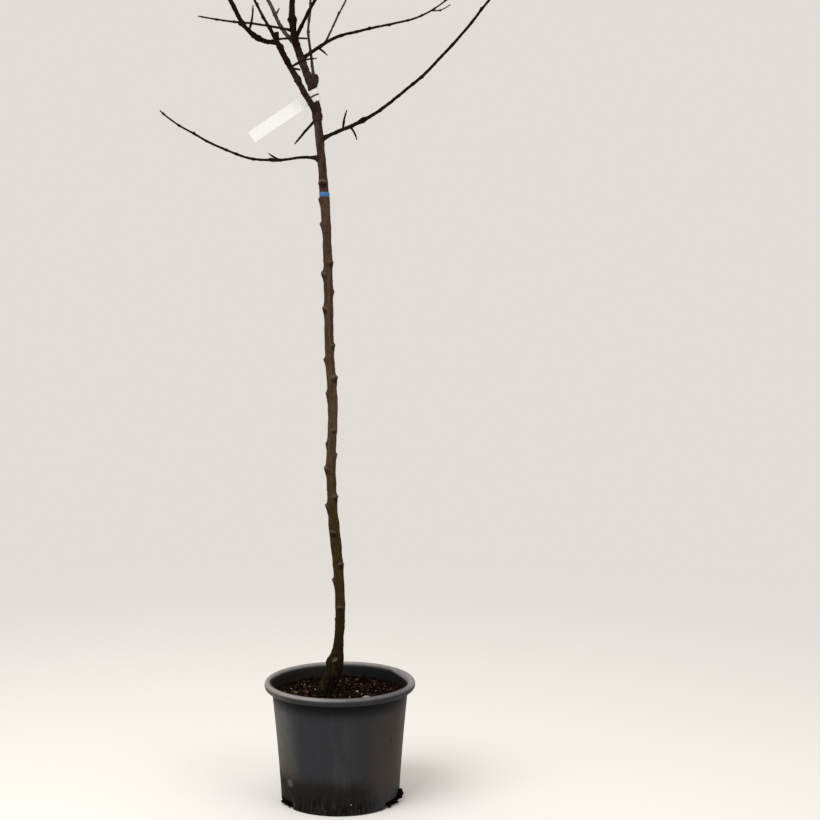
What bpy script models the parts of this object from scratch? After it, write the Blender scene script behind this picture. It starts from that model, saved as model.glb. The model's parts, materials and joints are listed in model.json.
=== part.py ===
"""A young half-standard apple tree in its nursery pot, bare for the winter.

Metres, with +Z up. The origin is the centre of the pot's flat underside, and the viewer stands at -Y.
Limbs are walked from where they leave their parent. Lean is a limb's angle in the front view, where
0 points right, 90 up and 180 left. Away is its angle out of that view, towards +Y.
"""

import math
import random

import bmesh
import bpy
import numpy as np
from mathutils import Vector

# Driving dimensions, in metres and degrees.
SEAT_GAP = 0.0003

POT_WALL = 0.0018
POT_FLOOR = 0.0025
POT_FOOT_RADIUS = 0.1245
POT_TAPER = 0.055
POT_FLARE = 0.11
POT_CORNER = 0.004
RIM_CENTRE_RADIUS = 0.1507
RIM_CENTRE_HEIGHT = 0.2486
RIM_HALF_WIDTH = 0.0074
RIM_HALF_HEIGHT = 0.0096
RIM_LIP_ANGLE = -58
POT_SIDES = 40
NOTCH_BEARINGS = (-157, -23, 90)
NOTCH_WIDTH = 0.072
NOTCH_HEIGHT = 0.016
NOTCH_DEPTH = 0.026

SOIL_TOP = 0.2260
SOIL_FLAT_RADIUS = 0.065
SOIL_EDGE_DROP = -0.005

TRUNK_FOOT = (-0.021, 0.0)
TRUNK_LENGTH = 1.225
TRUNK_LEAN = (77, 84, 93, 96, 92, 86, 95, 90, 91, 93, 95, 96)
TRUNK_THICKNESS = (0.0205, 0.0170)
ROOT_FLARE = 0.0180
ROOT_FLARE_HEIGHT = 0.085
# Swellings of the trunk: distance above the soil and how much thicker it is there.
TRUNK_SWELLINGS = ((0.28, 0.0018), (0.32, 0.0034), (0.365, 0.0020), (0.62, 0.0018), (1.035, 0.0022))
SWELLING_LENGTH = 0.022
# Healed buds on the trunk: the side they face, as a bearing from +X, then their heights above the soil.
KNOT_ROWS = (
    (180, (0.245, 0.397, 0.476, 0.530, 0.631, 0.705, 0.813, 0.886, 0.990, 1.037)),
    (5, (0.280, 0.421, 0.512, 0.677, 0.711, 0.744, 0.856)),
    (262, (0.186, 0.348, 0.570, 0.640, 0.919, 1.091)),
    (95, (0.222, 0.365, 0.452, 0.603, 0.771, 0.951, 1.003)),
)
KNOT_RADIUS = 0.0058
KNOT_STAND_OUT = 0.0028
GRAFT_HEIGHT = 0.074
GRAFT_RADIUS = 0.017

# Limbs: parent, distance along it, own length, lean and away from start to tip, thickness from start to
# tip, where the bough ends and its twigs begin, where side twigs begin, and how long the longest is.
LIMBS = {
    "leader": (
        "trunk", 1.225, 0.680,
        (96, 109, 111, 103, 87, 89, 89, 80, 90, 95, 81, 86, 91, 93), (0, 1),
        (0.0130, 0.0152, 0.0140, 0.0106, 0.0094, 0.0084, 0.0072, 0.0060, 0.0046, 0.0030),
        0.235, 0.26, 0.17,
    ),
    "low_left": (
        "trunk", 1.1245, 0.349,
        (168, 190, 178, 160, 153, 150, 138), (-10,),
        (0.0098, 0.0056, 0.0052, 0.0048, 0.0042, 0.0032),
        0.190, None, 0.0,
    ),
    "low_right": (
        "trunk", 1.1635, 0.608,
        (23, 21, 35, 38, 45, 48, 52, 58, 62), (-20,),
        (0.0104, 0.0072, 0.0062, 0.0058, 0.0054, 0.0046, 0.0032),
        0.280, 0.47, 0.08,
    ),
    "main_left": (
        "trunk", 1.217, 0.514,
        (120, 120, 117, 119, 119, 110, 114, 108, 107), (-42, -22, 6, 13, 15, 19),
        (0.0128, 0.0118, 0.0116, 0.0058, 0.0048, 0.0042, 0.0036, 0.0028),
        0.270, 0.31, 0.11,
    ),
    "outer_left": (
        "main_left", 0.175, 0.495,
        (194, 142, 116, 119, 119, 111, 110, 105, 104, 100, 101), (-22, -19, -9),
        (0.0096, 0.0088, 0.0084, 0.0076, 0.0066, 0.0054, 0.0042, 0.0028),
        0.130, 0.17, 0.15,
    ),
    "rear_left": (
        "leader", 0.134, 0.425,
        (138, 115, 121, 113, 108), (46, 24),
        (0.0082, 0.0080, 0.0072, 0.0058, 0.0044, 0.0028),
        0.130, 0.20, 0.12,
    ),
    "right_fork": (
        "leader", 0.150, 0.411,
        (59, 61, 75, 79, 84), (-24, -9),
        (0.0084, 0.0070, 0.0058, 0.0050, 0.0040, 0.0028),
        0.090, 0.12, 0.13,
    ),
    "upper_right": (
        "leader", 0.107, 0.399,
        (36, 37, 15, 17, 14, 34, 38), (30,),
        (0.0074, 0.0070, 0.0060, 0.0052, 0.0046, 0.0038, 0.0028),
        0.210, 0.34, 0.05,
    ),
    "rear_right": (
        "upper_right", 0.067, 0.363,
        (69, 66, 67), (42, 19),
        (0.0046, 0.0040, 0.0036, 0.0032, 0.0026),
        0.120, 0.17, 0.09,
    ),
    "thin_left": (
        "leader", 0.166, 0.204,
        (166, 171, 173, 167), (13,),
        (0.0052, 0.0047, 0.0042, 0.0032),
        0.0, None, 0.0,
    ),
    "cut_stub": (
        "leader", 0.046, 0.028,
        (70, 95), (4,),
        (0.0110, 0.0194, 0.0198, 0.0192, 0.0178, 0.0156),
        0.028, None, 0.0,
    ),
    "slender": (
        "cut_stub", 0.020, 0.337,
        (96, 100, 96, 84, 92, 90, 85, 79), (28, 22),
        (0.0060, 0.0054, 0.0050, 0.0044, 0.0032),
        0.0, 0.20, 0.07,
    ),
    "low_shoot": (
        "trunk", 1.2085, 0.069,
        (230, 229), (-12,),
        (0.0058, 0.0052, 0.0040),
        0.0, None, 0.0,
    ),
}
# Short spurs that show singly: the limb that bears them, distance along it, length, lean and away.
SPURS = (
    ("low_right", 0.056, 0.037, (90, 69), 9),
    ("low_right", 0.072, 0.027, (-43, -77), 12),
    ("low_left", 0.087, 0.022, (157, 144), 0),
    ("main_left", 0.117, 0.054, (40, -1), -10),
    ("main_left", 0.180, 0.067, (6, -6), -14),
    ("outer_left", 0.065, 0.048, (71, 89), 5),
    ("upper_right", 0.048, 0.020, (-35, -43), -4),
    ("rear_left", 0.119, 0.017, (71, 62), 30),
)
SPUR_THICKNESS = (0.0048, 0.0036)

TWIG_SPACING = 0.042
TWIG_SPIRAL = 137.5
TWIG_ANGLE = 48
TWIG_UPLIFT = 0.75
TWIG_THICKNESS = (0.0032, 0.0020)
TWIG_SHORTENING = 0.72
TWIG_CLEARANCE = 0.012
TWIG_SEED = 12

STEM_STEP = 0.005
TRUNK_SPACING = 0.028
BOUGH_SPACING = 0.020
TWIG_KNOT_SPACING = 0.030
TRUNK_SIDES = 12
BOUGH_SIDES = 8
STEM_SIDES = 6
TWIG_SIDES = 4

LABEL_WIDTH = 0.025
LABEL_THICKNESS = 0.0006
LABEL_TAIL = 0.152
LABEL_TAIL_DROP = 33.5
LABEL_LOOP_DROP = 24
LABEL_LOOP_RADIUS = 0.0079
LABEL_LOOP_SHIFT = -0.0012
LABEL_HEIGHT = 0.0275
LABEL_LOOP_TURN = 295

BAND_HEIGHT = 0.0102
BAND_THICKNESS = 0.0006
BAND_DISTANCE = 1.052

MATERIALS = {
    "pot": ((0.036, 0.037, 0.040), 0.50),
    "soil": ((0.045, 0.028, 0.020), 0.95),
    "trunk_bark": ((0.060, 0.048, 0.034), 0.80),
    "twig_bark": ((0.030, 0.018, 0.017), 0.60),
    "label": ((0.86, 0.86, 0.85), 0.45),
    "band": ((0.04, 0.23, 0.62), 0.40),
}


def material(name):
    """A plain finish in the colour and roughness that the sub-part shows."""
    found = bpy.data.materials.get(name)
    if found:
        return found
    colour, roughness = MATERIALS[name]
    made = bpy.data.materials.new(name)
    made.use_nodes = True
    shader = made.node_tree.nodes["Principled BSDF"]
    shader.inputs["Base Color"].default_value = (*colour, 1)
    shader.inputs["Roughness"].default_value = roughness
    made.diffuse_color = (*colour, 1)
    return made


def linked(name, mesh, collection):
    """A new object for this mesh or curve, in the given collection."""
    made = bpy.data.objects.new(name, mesh)
    collection.objects.link(made)
    return made


def finished(part, finish):
    """Gives a part its material and smooth shading, with edges kept sharp where the surface turns."""
    part.data.materials.clear()
    part.data.materials.append(material(finish))
    part.data.shade_smooth()
    part.data.set_sharp_from_angle(angle=math.radians(40))
    return part


def apply_modifiers(part):
    """Keeps the shape that the modifiers give, and drops them."""
    graph = bpy.context.evaluated_depsgraph_get()
    shape = bpy.data.meshes.new_from_object(part.evaluated_get(graph))
    part.modifiers.clear()
    part.data = shape


def boolean(part, operation, group):
    """Cuts or joins a part with every object of a collection."""
    modifier = part.modifiers.new(operation.lower(), "BOOLEAN")
    modifier.operation = operation
    modifier.solver = "EXACT"
    modifier.operand_type = "COLLECTION"
    modifier.collection = group


def new_group(name, parent):
    """A collection inside another one."""
    group = bpy.data.collections.new(name)
    parent.children.link(group)
    return group


def clear_group(group):
    """Removes a collection of helpers and its objects."""
    for helper in list(group.objects):
        bpy.data.objects.remove(helper)
    bpy.data.collections.remove(group)


def turned(name, profile, finish):
    """A solid of revolution. The profile runs from the axis down the outer side and back to the axis."""
    mesh = bpy.data.meshes.new(name)
    points = [(radius, 0, height) for radius, height in profile]
    mesh.from_pydata(points, [(i, i + 1) for i in range(len(points) - 1)], [])
    part = linked(name, mesh, PARTS)
    screw = part.modifiers.new("turn", "SCREW")
    screw.steps = screw.render_steps = POT_SIDES
    screw.use_merge_vertices = True
    screw.merge_threshold = 0.00005
    screw.use_smooth_shade = True
    apply_modifiers(part)
    return finished(part, finish)


# The pot: a thin flared wall, a flat floor, a rolled rim and three drain notches in its foot.


def pot_radius(height):
    """Outer radius of the wall, which flares a little more the higher it goes."""
    return POT_FOOT_RADIUS + POT_TAPER * height + POT_FLARE * height**2


def arc(centre, half_width, half_height, first, last, count):
    """Points on an ellipse between two angles."""
    angles = np.radians(np.linspace(first, last, count))
    return [
        (centre[0] + half_width * math.cos(a), centre[1] + half_height * math.sin(a))
        for a in angles
    ]


def pot_profile():
    """Inner floor, inner wall, over the rolled rim, under its lip, down the outer wall and underneath."""
    rim = (RIM_CENTRE_RADIUS, RIM_CENTRE_HEIGHT)
    wall_top = RIM_CENTRE_HEIGHT - 0.002
    heights = np.linspace(POT_FLOOR + POT_CORNER, wall_top, 5)
    inside = [(pot_radius(z) - POT_WALL, z) for z in heights]
    outside = [(pot_radius(z), z) for z in heights[::-1]]
    corner = (pot_radius(POT_CORNER) - POT_CORNER, POT_CORNER)
    return [
        (0, POT_FLOOR),
        (pot_radius(POT_FLOOR) - POT_WALL - POT_CORNER, POT_FLOOR),
        *inside,
        *arc(rim, RIM_HALF_WIDTH, RIM_HALF_HEIGHT, 170, RIM_LIP_ANGLE, 9),
        *arc(rim, RIM_HALF_WIDTH - POT_WALL, RIM_HALF_HEIGHT - POT_WALL, RIM_LIP_ANGLE, 150, 6),
        *outside[1:],
        *arc(corner, POT_CORNER, POT_CORNER, -15, -90, 3),
        (0, 0),
    ]


def make_pot():
    pot = turned("pot", pot_profile(), "pot")
    for number, bearing in enumerate(NOTCH_BEARINGS):
        across = Vector((math.cos(math.radians(bearing)), math.sin(math.radians(bearing)), 0))
        mesh = bpy.data.meshes.new(f"notch_cutter_{number}")
        block = bmesh.new()
        bmesh.ops.create_cube(block, size=1)
        bmesh.ops.scale(block, vec=(NOTCH_DEPTH, NOTCH_WIDTH, 2 * NOTCH_HEIGHT), verts=block.verts)
        block.to_mesh(mesh)
        block.free()
        cutter = linked(mesh.name, mesh, NOTCH_CUTTERS)
        cutter.location = across * POT_FOOT_RADIUS
        cutter.rotation_euler.z = math.radians(bearing)
        cutter.hide_render = True
        cutter.display_type = "WIRE"
    boolean(pot, "DIFFERENCE", NOTCH_CUTTERS)


def make_soil():
    """The root ball's top layer and all the mix below it: flat round the trunk and lower at the wall."""
    clear = POT_WALL + SEAT_GAP
    edge = SOIL_TOP - SOIL_EDGE_DROP
    bottom = POT_FLOOR + SEAT_GAP
    shoulder = bottom + POT_CORNER
    profile = [
        (0, SOIL_TOP),
        (SOIL_FLAT_RADIUS, SOIL_TOP),
        (0.6 * SOIL_FLAT_RADIUS + 0.4 * pot_radius(edge), SOIL_TOP - 0.4 * SOIL_EDGE_DROP),
        *[(pot_radius(z) - clear, z) for z in np.linspace(edge, shoulder, 5)],
        (pot_radius(bottom) - clear - POT_CORNER, bottom),
        (0, bottom),
    ]
    turned("soil", profile, "soil")


# The wood: centrelines, thickness, and tubes round them.


def headings(lean, away, steps):
    """Unit directions of a limb's steps, from its angles at even distances."""
    share = (np.arange(steps) + 0.5) / steps
    front = np.radians(np.interp(share, np.linspace(0, 1, len(lean)), lean))
    back = np.radians(np.interp(share, np.linspace(0, 1, len(away)), away))
    return np.column_stack((np.cos(front) * np.cos(back), np.sin(back), np.sin(front) * np.cos(back)))


class Limb:
    """A woody stem: a centreline walked in short steps, and a thickness given at even distances."""

    def __init__(self, start, length, directions, thickness):
        step = length / len(directions)
        self.length = length
        self.points = np.vstack((start, start + np.cumsum(directions, axis=0) * step))
        self.thickness = thickness

    def at(self, distances):
        """Points on the centreline, which runs on straight past either end."""
        distances = np.atleast_1d(distances)
        along = np.linspace(0, self.length, len(self.points))
        points = np.column_stack([np.interp(distances, along, axis) for axis in self.points.T])
        points += np.minimum(distances, 0)[:, None] * self.heading(0)
        points += np.maximum(distances - self.length, 0)[:, None] * self.heading(self.length)
        return points

    def heading(self, distance):
        """Unit direction of the centreline at a distance."""
        steps = len(self.points) - 1
        step = min(steps - 1, int(distance / self.length * steps))
        ahead = self.points[step + 1] - self.points[step]
        return ahead / np.linalg.norm(ahead)

    def radius(self, distances):
        """Radius at these distances."""
        share = np.atleast_1d(distances) / self.length
        return np.interp(share, np.linspace(0, 1, len(self.thickness)), self.thickness) / 2


def walked(start, length, lean, away, thickness):
    """A limb that follows its lean and away angles."""
    steps = max(2, round(length / STEM_STEP))
    return Limb(np.array(start), length, headings(lean, away, steps), thickness)


def as_mesh(curve_object, collection):
    """A curve made a mesh, with its caps welded on and its faces pointing out."""
    graph = bpy.context.evaluated_depsgraph_get()
    mesh = bpy.data.meshes.new_from_object(curve_object.evaluated_get(graph))
    name, place, curve = curve_object.name, curve_object.matrix_world.copy(), curve_object.data
    bpy.data.objects.remove(curve_object)
    bpy.data.curves.remove(curve)
    shape = bmesh.new()
    shape.from_mesh(mesh)
    bmesh.ops.remove_doubles(shape, verts=shape.verts, dist=0.00001)
    bmesh.ops.recalc_face_normals(shape, faces=shape.faces)
    shape.to_mesh(mesh)
    shape.free()
    made = linked(name, mesh, collection)
    made.matrix_world = place
    return made


def tube(name, limb, shape, collection, grown=0.0):
    """A tube round part of a limb. A grown one is thicker and longer all round, for cutting a seat."""
    (first, last), spacing, sides = shape
    count = max(3, round((last - first) / spacing) + 1)
    distances = np.linspace(first, last, count)
    places, radii = limb.at(distances), limb.radius(distances) + grown
    if grown:
        ends = np.array((places[0] - places[1], places[-1] - places[-2]))
        ends *= grown / np.linalg.norm(ends, axis=1)[:, None]
        places = np.vstack((places[0] + ends[0], places, places[-1] + ends[1]))
        radii = np.concatenate((radii[:1], radii, radii[-1:]))
    curve = bpy.data.curves.new(name, "CURVE")
    curve.dimensions = "3D"
    curve.bevel_depth = 1.0
    curve.bevel_resolution = (sides - 4) // 2
    curve.use_fill_caps = True
    spline = curve.splines.new("POLY")
    spline.points.add(len(places) - 1)
    for knot, place, radius in zip(spline.points, places, radii):
        knot.co = (*place, 1)
        knot.radius = radius
    bpy.context.view_layer.update()
    return as_mesh(linked(name, curve, collection), collection)


def bough_shape(name):
    """Where a bough's tube starts and ends, how far apart its rings are, and how many sides it has."""
    if name == "trunk":
        return (-ROOT_FLARE, TRUNK_LENGTH), TRUNK_SPACING, TRUNK_SIDES
    return (SEAT_GAP if name == "leader" else 0, LIMBS[name][6]), BOUGH_SPACING, BOUGH_SIDES


def twig_shape(twig):
    """The same for a spur or a side twig, which is left whole."""
    return (0, twig.length), TWIG_KNOT_SPACING, TWIG_SIDES


def ball(name, centre, radius, collection):
    """A coarse ball, for a knot or a swelling."""
    mesh = bpy.data.meshes.new(name)
    shape = bmesh.new()
    bmesh.ops.create_icosphere(shape, subdivisions=1, radius=radius)
    shape.to_mesh(mesh)
    shape.free()
    made = linked(name, mesh, collection)
    made.location = centre
    return made


def trunk_thickness(distance):
    """The trunk's even taper, its flared foot and its swellings."""
    share = distance / TRUNK_LENGTH
    taper = TRUNK_THICKNESS[0] + (TRUNK_THICKNESS[1] - TRUNK_THICKNESS[0]) * share
    flare = ROOT_FLARE * np.exp(-((distance / ROOT_FLARE_HEIGHT) ** 4))
    swollen = sum(
        extra * np.exp(-(((distance - place) / SWELLING_LENGTH) ** 2))
        for place, extra in TRUNK_SWELLINGS
    )
    return taper + flare + swollen


def plan_limbs():
    """Every limb's centreline, each starting on the centreline of its parent."""
    steps = round(TRUNK_LENGTH / STEM_STEP)
    thickness = trunk_thickness(np.linspace(0, TRUNK_LENGTH, steps))
    start = np.array((*TRUNK_FOOT, SOIL_TOP + SEAT_GAP))
    limbs = {"trunk": Limb(start, TRUNK_LENGTH, headings(TRUNK_LEAN, (0,), steps), thickness)}
    for name, (parent, place, length, lean, away, thick, *_) in LIMBS.items():
        limbs[name] = walked(limbs[parent].at(place)[0], length, lean, away, thick)
    return limbs


def spurs_of(name, stretch):
    """The short spurs that one stretch of a limb bears."""
    limb = PLAN[name]
    return [
        walked(limb.at(place)[0], length, lean, (away,), SPUR_THICKNESS)
        for bearer, place, length, lean, away in SPURS
        if bearer == name and stretch[0] <= place < stretch[1]
    ]


def square_to(direction):
    """Two unit vectors square to a direction and to each other."""
    first = np.cross(direction, (0.0, 1.0, 0.0))
    first /= np.linalg.norm(first)
    return first, np.cross(direction, first)


def nearest_gap(points, limb):
    """How far each point is from a limb's centreline."""
    return np.linalg.norm(points[:, None] - limb.points[None], axis=2).min(axis=1)


def keeps_clear(twig, own):
    """True for a twig that stays nearer to its own stem than to any other limb, and clear of them all."""
    outer = twig.points[len(twig.points) // 3 :]
    own_gap = nearest_gap(outer, PLAN[own])
    for name, limb in PLAN.items():
        if name == own:
            continue
        gap = nearest_gap(outer, limb)
        if (gap < own_gap).any() or (gap < TWIG_CLEARANCE).any():
            return False
    return True


def side_twigs(name):
    """Twigs that leave a stem in a spiral, bend upwards, and are shorter towards its tip."""
    *_, first, reach = LIMBS[name]
    if first is None:
        return []
    stem = PLAN[name]
    draw = random.Random(f"{name} {TWIG_SEED}")
    turn = draw.uniform(0, 360)
    distance = first
    twigs = []
    while distance < stem.length - TWIG_SPACING:
        share = (distance - first) / (stem.length - first)
        length = reach * (1 - TWIG_SHORTENING * share) * draw.uniform(0.75, 1.1)
        turn += TWIG_SPIRAL + draw.uniform(-15, 15)
        ahead = stem.heading(distance)
        side, other = square_to(ahead)
        out = side * math.cos(math.radians(turn)) + other * math.sin(math.radians(turn))
        angle = math.radians(TWIG_ANGLE + draw.uniform(-8, 8))
        root = ahead * math.cos(angle) + out * math.sin(angle)
        steps = max(3, round(length / STEM_STEP))
        lift = np.linspace(0, TWIG_UPLIFT, steps)[:, None] * np.array((0.0, 0.0, 1.0))
        ways = root + lift
        ways /= np.linalg.norm(ways, axis=1)[:, None]
        twig = Limb(stem.at(distance)[0], length, ways, TWIG_THICKNESS)
        if keeps_clear(twig, name):
            twigs.append(twig)
        distance += TWIG_SPACING * draw.uniform(0.8, 1.2)
    return twigs


def seat_cutters(name):
    """Slightly grown copies of the limbs that another limb has to stay clear of at its root."""
    group = new_group(f"{name}_seat", CUTTERS)
    beside = {"main_left": ("trunk", "leader"), "slender": ("cut_stub", "leader")}
    for other in beside.get(name, (LIMBS[name][0],)):
        cutter = tube(f"{name}_{other}_seat", PLAN[other], bough_shape(other), group, SEAT_GAP)
        cutter.hide_render = True
        cutter.display_type = "WIRE"
    return group


def fused(name, stem, extras, finish):
    """A stem with its spurs, side twigs and knots joined to it."""
    if extras.objects:
        boolean(stem, "UNION", extras)
        apply_modifiers(stem)
    clear_group(extras)
    stem.name = name
    return finished(stem, finish)


def make_trunk():
    """The trunk stands on the soil with a flat foot, and carries the graft's knuckle and its healed buds."""
    trunk = PLAN["trunk"]
    extras = new_group("trunk_extras", CUTTERS)
    for bearing, heights in KNOT_ROWS:
        out = np.array((math.cos(math.radians(bearing)), math.sin(math.radians(bearing)), 0.0))
        for number, height in enumerate(heights):
            reach = trunk.radius(height)[0] + KNOT_STAND_OUT - KNOT_RADIUS
            ball(f"knot_{bearing}_{number}", trunk.at(height)[0] + out * reach, KNOT_RADIUS, extras)
    graft = trunk.at(GRAFT_HEIGHT)[0] + np.array((-0.004, 0.0, 0.0))
    ball("graft", graft, GRAFT_RADIUS, extras)
    stem = tube("trunk", trunk, bough_shape("trunk"), PARTS)
    shape = bmesh.new()
    shape.from_mesh(stem.data)
    everything = [*shape.verts, *shape.edges, *shape.faces]
    ground = (0, 0, SOIL_TOP + SEAT_GAP)
    cut = bmesh.ops.bisect_plane(shape, geom=everything, plane_co=ground, plane_no=(0, 0, 1), clear_inner=True)
    rim = [item for item in cut["geom_cut"] if isinstance(item, bmesh.types.BMEdge)]
    bmesh.ops.contextual_create(shape, geom=rim)
    bmesh.ops.recalc_face_normals(shape, faces=shape.faces)
    shape.to_mesh(stem.data)
    shape.free()
    fused("trunk", stem, extras, "trunk_bark")


def make_bough(name):
    """A tapering limb with its spurs, seated on its parent."""
    extras = new_group(f"{name}_extras", CUTTERS)
    for number, spur in enumerate(spurs_of(name, bough_shape(name)[0])):
        tube(f"{name}_spur_{number}", spur, twig_shape(spur), extras)
    if name == "leader":
        tube("cut_stub", PLAN["cut_stub"], bough_shape("cut_stub"), extras)
    stem = tube(name, PLAN[name], bough_shape(name), PARTS)
    bough = fused(f"{name}_bough", stem, extras, "twig_bark")
    if name != "leader":
        boolean(bough, "DIFFERENCE", seat_cutters(name))


def make_twigs(name):
    """A mass of twigs: the limb's outer part and the side twigs that it bears."""
    limb = PLAN[name]
    bough_end = LIMBS[name][6]
    extras = new_group(f"{name}_extras", CUTTERS)
    side = [*spurs_of(name, (bough_end, limb.length)), *side_twigs(name)]
    for number, twig in enumerate(side):
        tube(f"{name}_side_{number}", twig, twig_shape(twig), extras)
    first = bough_end + SEAT_GAP if bough_end else 0
    stem = tube(name, limb, ((first, limb.length), TWIG_KNOT_SPACING, STEM_SIDES), PARTS)
    mass = fused(f"{name}_twigs", stem, extras, "twig_bark")
    if not bough_end:
        boolean(mass, "DIFFERENCE", seat_cutters(name))


# What is fastened to the tree: the blank strap label and the coloured band.


def label_path():
    """The strap's middle line and the way across it, from the tail's end, round the leader and back."""
    leader = PLAN["leader"]
    centre = leader.at(LABEL_HEIGHT)[0] + np.array((LABEL_LOOP_SHIFT, 0, 0))
    upright = leader.heading(LABEL_HEIGHT)
    tail_slope, loop_slope = math.radians(LABEL_TAIL_DROP), math.radians(LABEL_LOOP_DROP)
    tail_across = np.array((-math.sin(tail_slope), 0, math.cos(tail_slope)))
    middle, across = [], []
    for share in np.linspace(0, 1, 6):
        left = (1 - share) * LABEL_TAIL * math.cos(tail_slope)
        drop = (1 - share) * LABEL_TAIL * math.sin(tail_slope)
        middle.append(centre + np.array((-left, -LABEL_LOOP_RADIUS, -drop)))
        across.append(tail_across * (1 - share**4) + upright * share**4)
    for angle in np.radians(np.linspace(-90, LABEL_LOOP_TURN - 90, 19)[1:]):
        side, back = LABEL_LOOP_RADIUS * math.cos(angle), LABEL_LOOP_RADIUS * math.sin(angle)
        middle.append(centre + np.array((side, back, side * math.tan(loop_slope))))
        across.append(upright)
    return np.array(middle), np.array(across)


def make_label():
    """A blank strap, looped round the leader, with its tail hanging to the left."""
    middle, across = label_path()
    across *= LABEL_WIDTH / 2 / np.linalg.norm(across, axis=1)[:, None]
    count = len(middle)
    mesh = bpy.data.meshes.new("label")
    faces = [(i, i + 1, count + i + 1, count + i) for i in range(count - 1)]
    mesh.from_pydata([*(middle - across).tolist(), *(middle + across).tolist()], [], faces)
    label = linked("label", mesh, PARTS)
    solidify = label.modifiers.new("thickness", "SOLIDIFY")
    solidify.thickness = LABEL_THICKNESS
    solidify.offset = 0
    apply_modifiers(label)
    finished(label, "label")


def make_band():
    """A coloured band round the upper trunk."""
    trunk = PLAN["trunk"]
    ends = (BAND_DISTANCE - BAND_HEIGHT / 2, BAND_DISTANCE + BAND_HEIGHT / 2)
    inside = new_group("band_inside", CUTTERS)
    thick = SEAT_GAP + BAND_THICKNESS
    outer = tube("band", trunk, (ends, BAND_HEIGHT / 2, TRUNK_SIDES), PARTS, thick)
    tube("band_core", trunk, bough_shape("trunk"), inside, SEAT_GAP)
    boolean(outer, "DIFFERENCE", inside)
    apply_modifiers(outer)
    clear_group(inside)
    finished(outer, "band")


for leftover in list(bpy.data.objects):
    bpy.data.objects.remove(leftover)
PARTS = bpy.data.collections.new("potted_apple_tree")
CUTTERS = bpy.data.collections.new("cutters")
bpy.context.scene.collection.children.link(PARTS)
bpy.context.scene.collection.children.link(CUTTERS)
NOTCH_CUTTERS = new_group("notch_cutters", CUTTERS)
PLAN = plan_limbs()

make_pot()
make_soil()
make_trunk()
for limb_name, (*_, bough_length, _, _) in LIMBS.items():
    if limb_name == "cut_stub":
        continue
    if bough_length:
        make_bough(limb_name)
    make_twigs(limb_name)
make_label()
make_band()
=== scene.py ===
import json
import math
import random

import bmesh
import bpy
import numpy as np
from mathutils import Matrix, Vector

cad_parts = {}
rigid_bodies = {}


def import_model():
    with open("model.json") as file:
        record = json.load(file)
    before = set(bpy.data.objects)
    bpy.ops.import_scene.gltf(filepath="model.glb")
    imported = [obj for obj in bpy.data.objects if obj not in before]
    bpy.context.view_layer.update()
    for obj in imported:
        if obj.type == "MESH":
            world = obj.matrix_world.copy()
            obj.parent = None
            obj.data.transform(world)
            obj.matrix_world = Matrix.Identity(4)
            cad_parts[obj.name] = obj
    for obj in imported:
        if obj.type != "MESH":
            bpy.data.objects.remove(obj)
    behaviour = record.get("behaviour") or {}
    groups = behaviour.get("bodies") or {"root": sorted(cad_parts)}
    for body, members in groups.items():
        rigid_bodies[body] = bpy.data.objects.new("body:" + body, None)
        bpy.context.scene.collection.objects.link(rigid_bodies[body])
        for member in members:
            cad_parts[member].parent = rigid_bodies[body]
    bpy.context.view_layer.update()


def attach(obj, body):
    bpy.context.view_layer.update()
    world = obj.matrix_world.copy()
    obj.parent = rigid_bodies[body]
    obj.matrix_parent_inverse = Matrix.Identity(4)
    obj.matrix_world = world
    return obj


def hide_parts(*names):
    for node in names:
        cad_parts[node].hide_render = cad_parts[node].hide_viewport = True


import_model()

# The pot is a thin-walled nursery container, moulded in charcoal plastic. Its wall flares up to a rolled
# rim that stiffens it. Drain notches are cut where the wall meets the flat floor it stands on.
POT_WALL = 0.0018
POT_FLOOR = 0.0025
POT_FOOT_RADIUS = 0.1245
POT_TAPER = 0.055
POT_FLARE = 0.11
POT_CORNER = 0.004
RIM_CENTRE = (0.1516, 0.2482)
WALL_TOP = RIM_CENTRE[1] - 0.002
RIM_HALF_WIDTH = 0.0076
RIM_TIP = 0.0080
RIM_HALF_HEIGHT = 0.0090
RIM_LIP_ANGLE = -58
NOTCH_BEARINGS = (-157, -23, 90)
NOTCH_SIZE = (0.026, 0.072, 0.032)
NOTCH_ROUNDING = 0.006
NICK_BEARING = -67
NICK_SIZE = (0.0085, 0.0045, 0.004)
NICK_REACH = 0.0042
NICK_INSET = 0.006
NICK_LIFT = 0.007
NICK_SLOPE = 0.60
POT_SIDES = 288
SHARP_EDGE = math.radians(40)

CHARCOAL = (0.0214, 0.0218, 0.0262)
# Grey of dust and scuffs, also used for the painted sheen on the pot's left side.
DUST_AND_SHEEN_GREY = (0.084, 0.083, 0.077)
RUSTY_STAIN = (0.044, 0.031, 0.024)
# Dark grime for marks, drips and specks, also used for the painted shade under the rim.
GRIME_AND_SHADE = (0.0016, 0.0016, 0.0014)
SPLASH = (0.0078, 0.0070, 0.0046)
PALE_RUN = (0.029, 0.028, 0.022)
REFLECTED = (0.046, 0.038, 0.031)
# Pale grey for the rim: dust, and painted light from above.
RIM_DUST_AND_LIGHT = (0.235, 0.224, 0.222)
NICK_DUST = (0.25, 0.235, 0.228)
# Painted light inside the pot: the inner wall is made much lighter than the plastic, more so on the left.
INNER_WALL_PAINTED_LIGHT = ((0.150, 0.145, 0.142), (0.098, 0.098, 0.114))
STAIN_BEARING = -28
# The side of the painted sheen. The specks also lean towards it.
SHEEN_SIDE_BEARING = -168
REFLECTION_BEARING = -152
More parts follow.
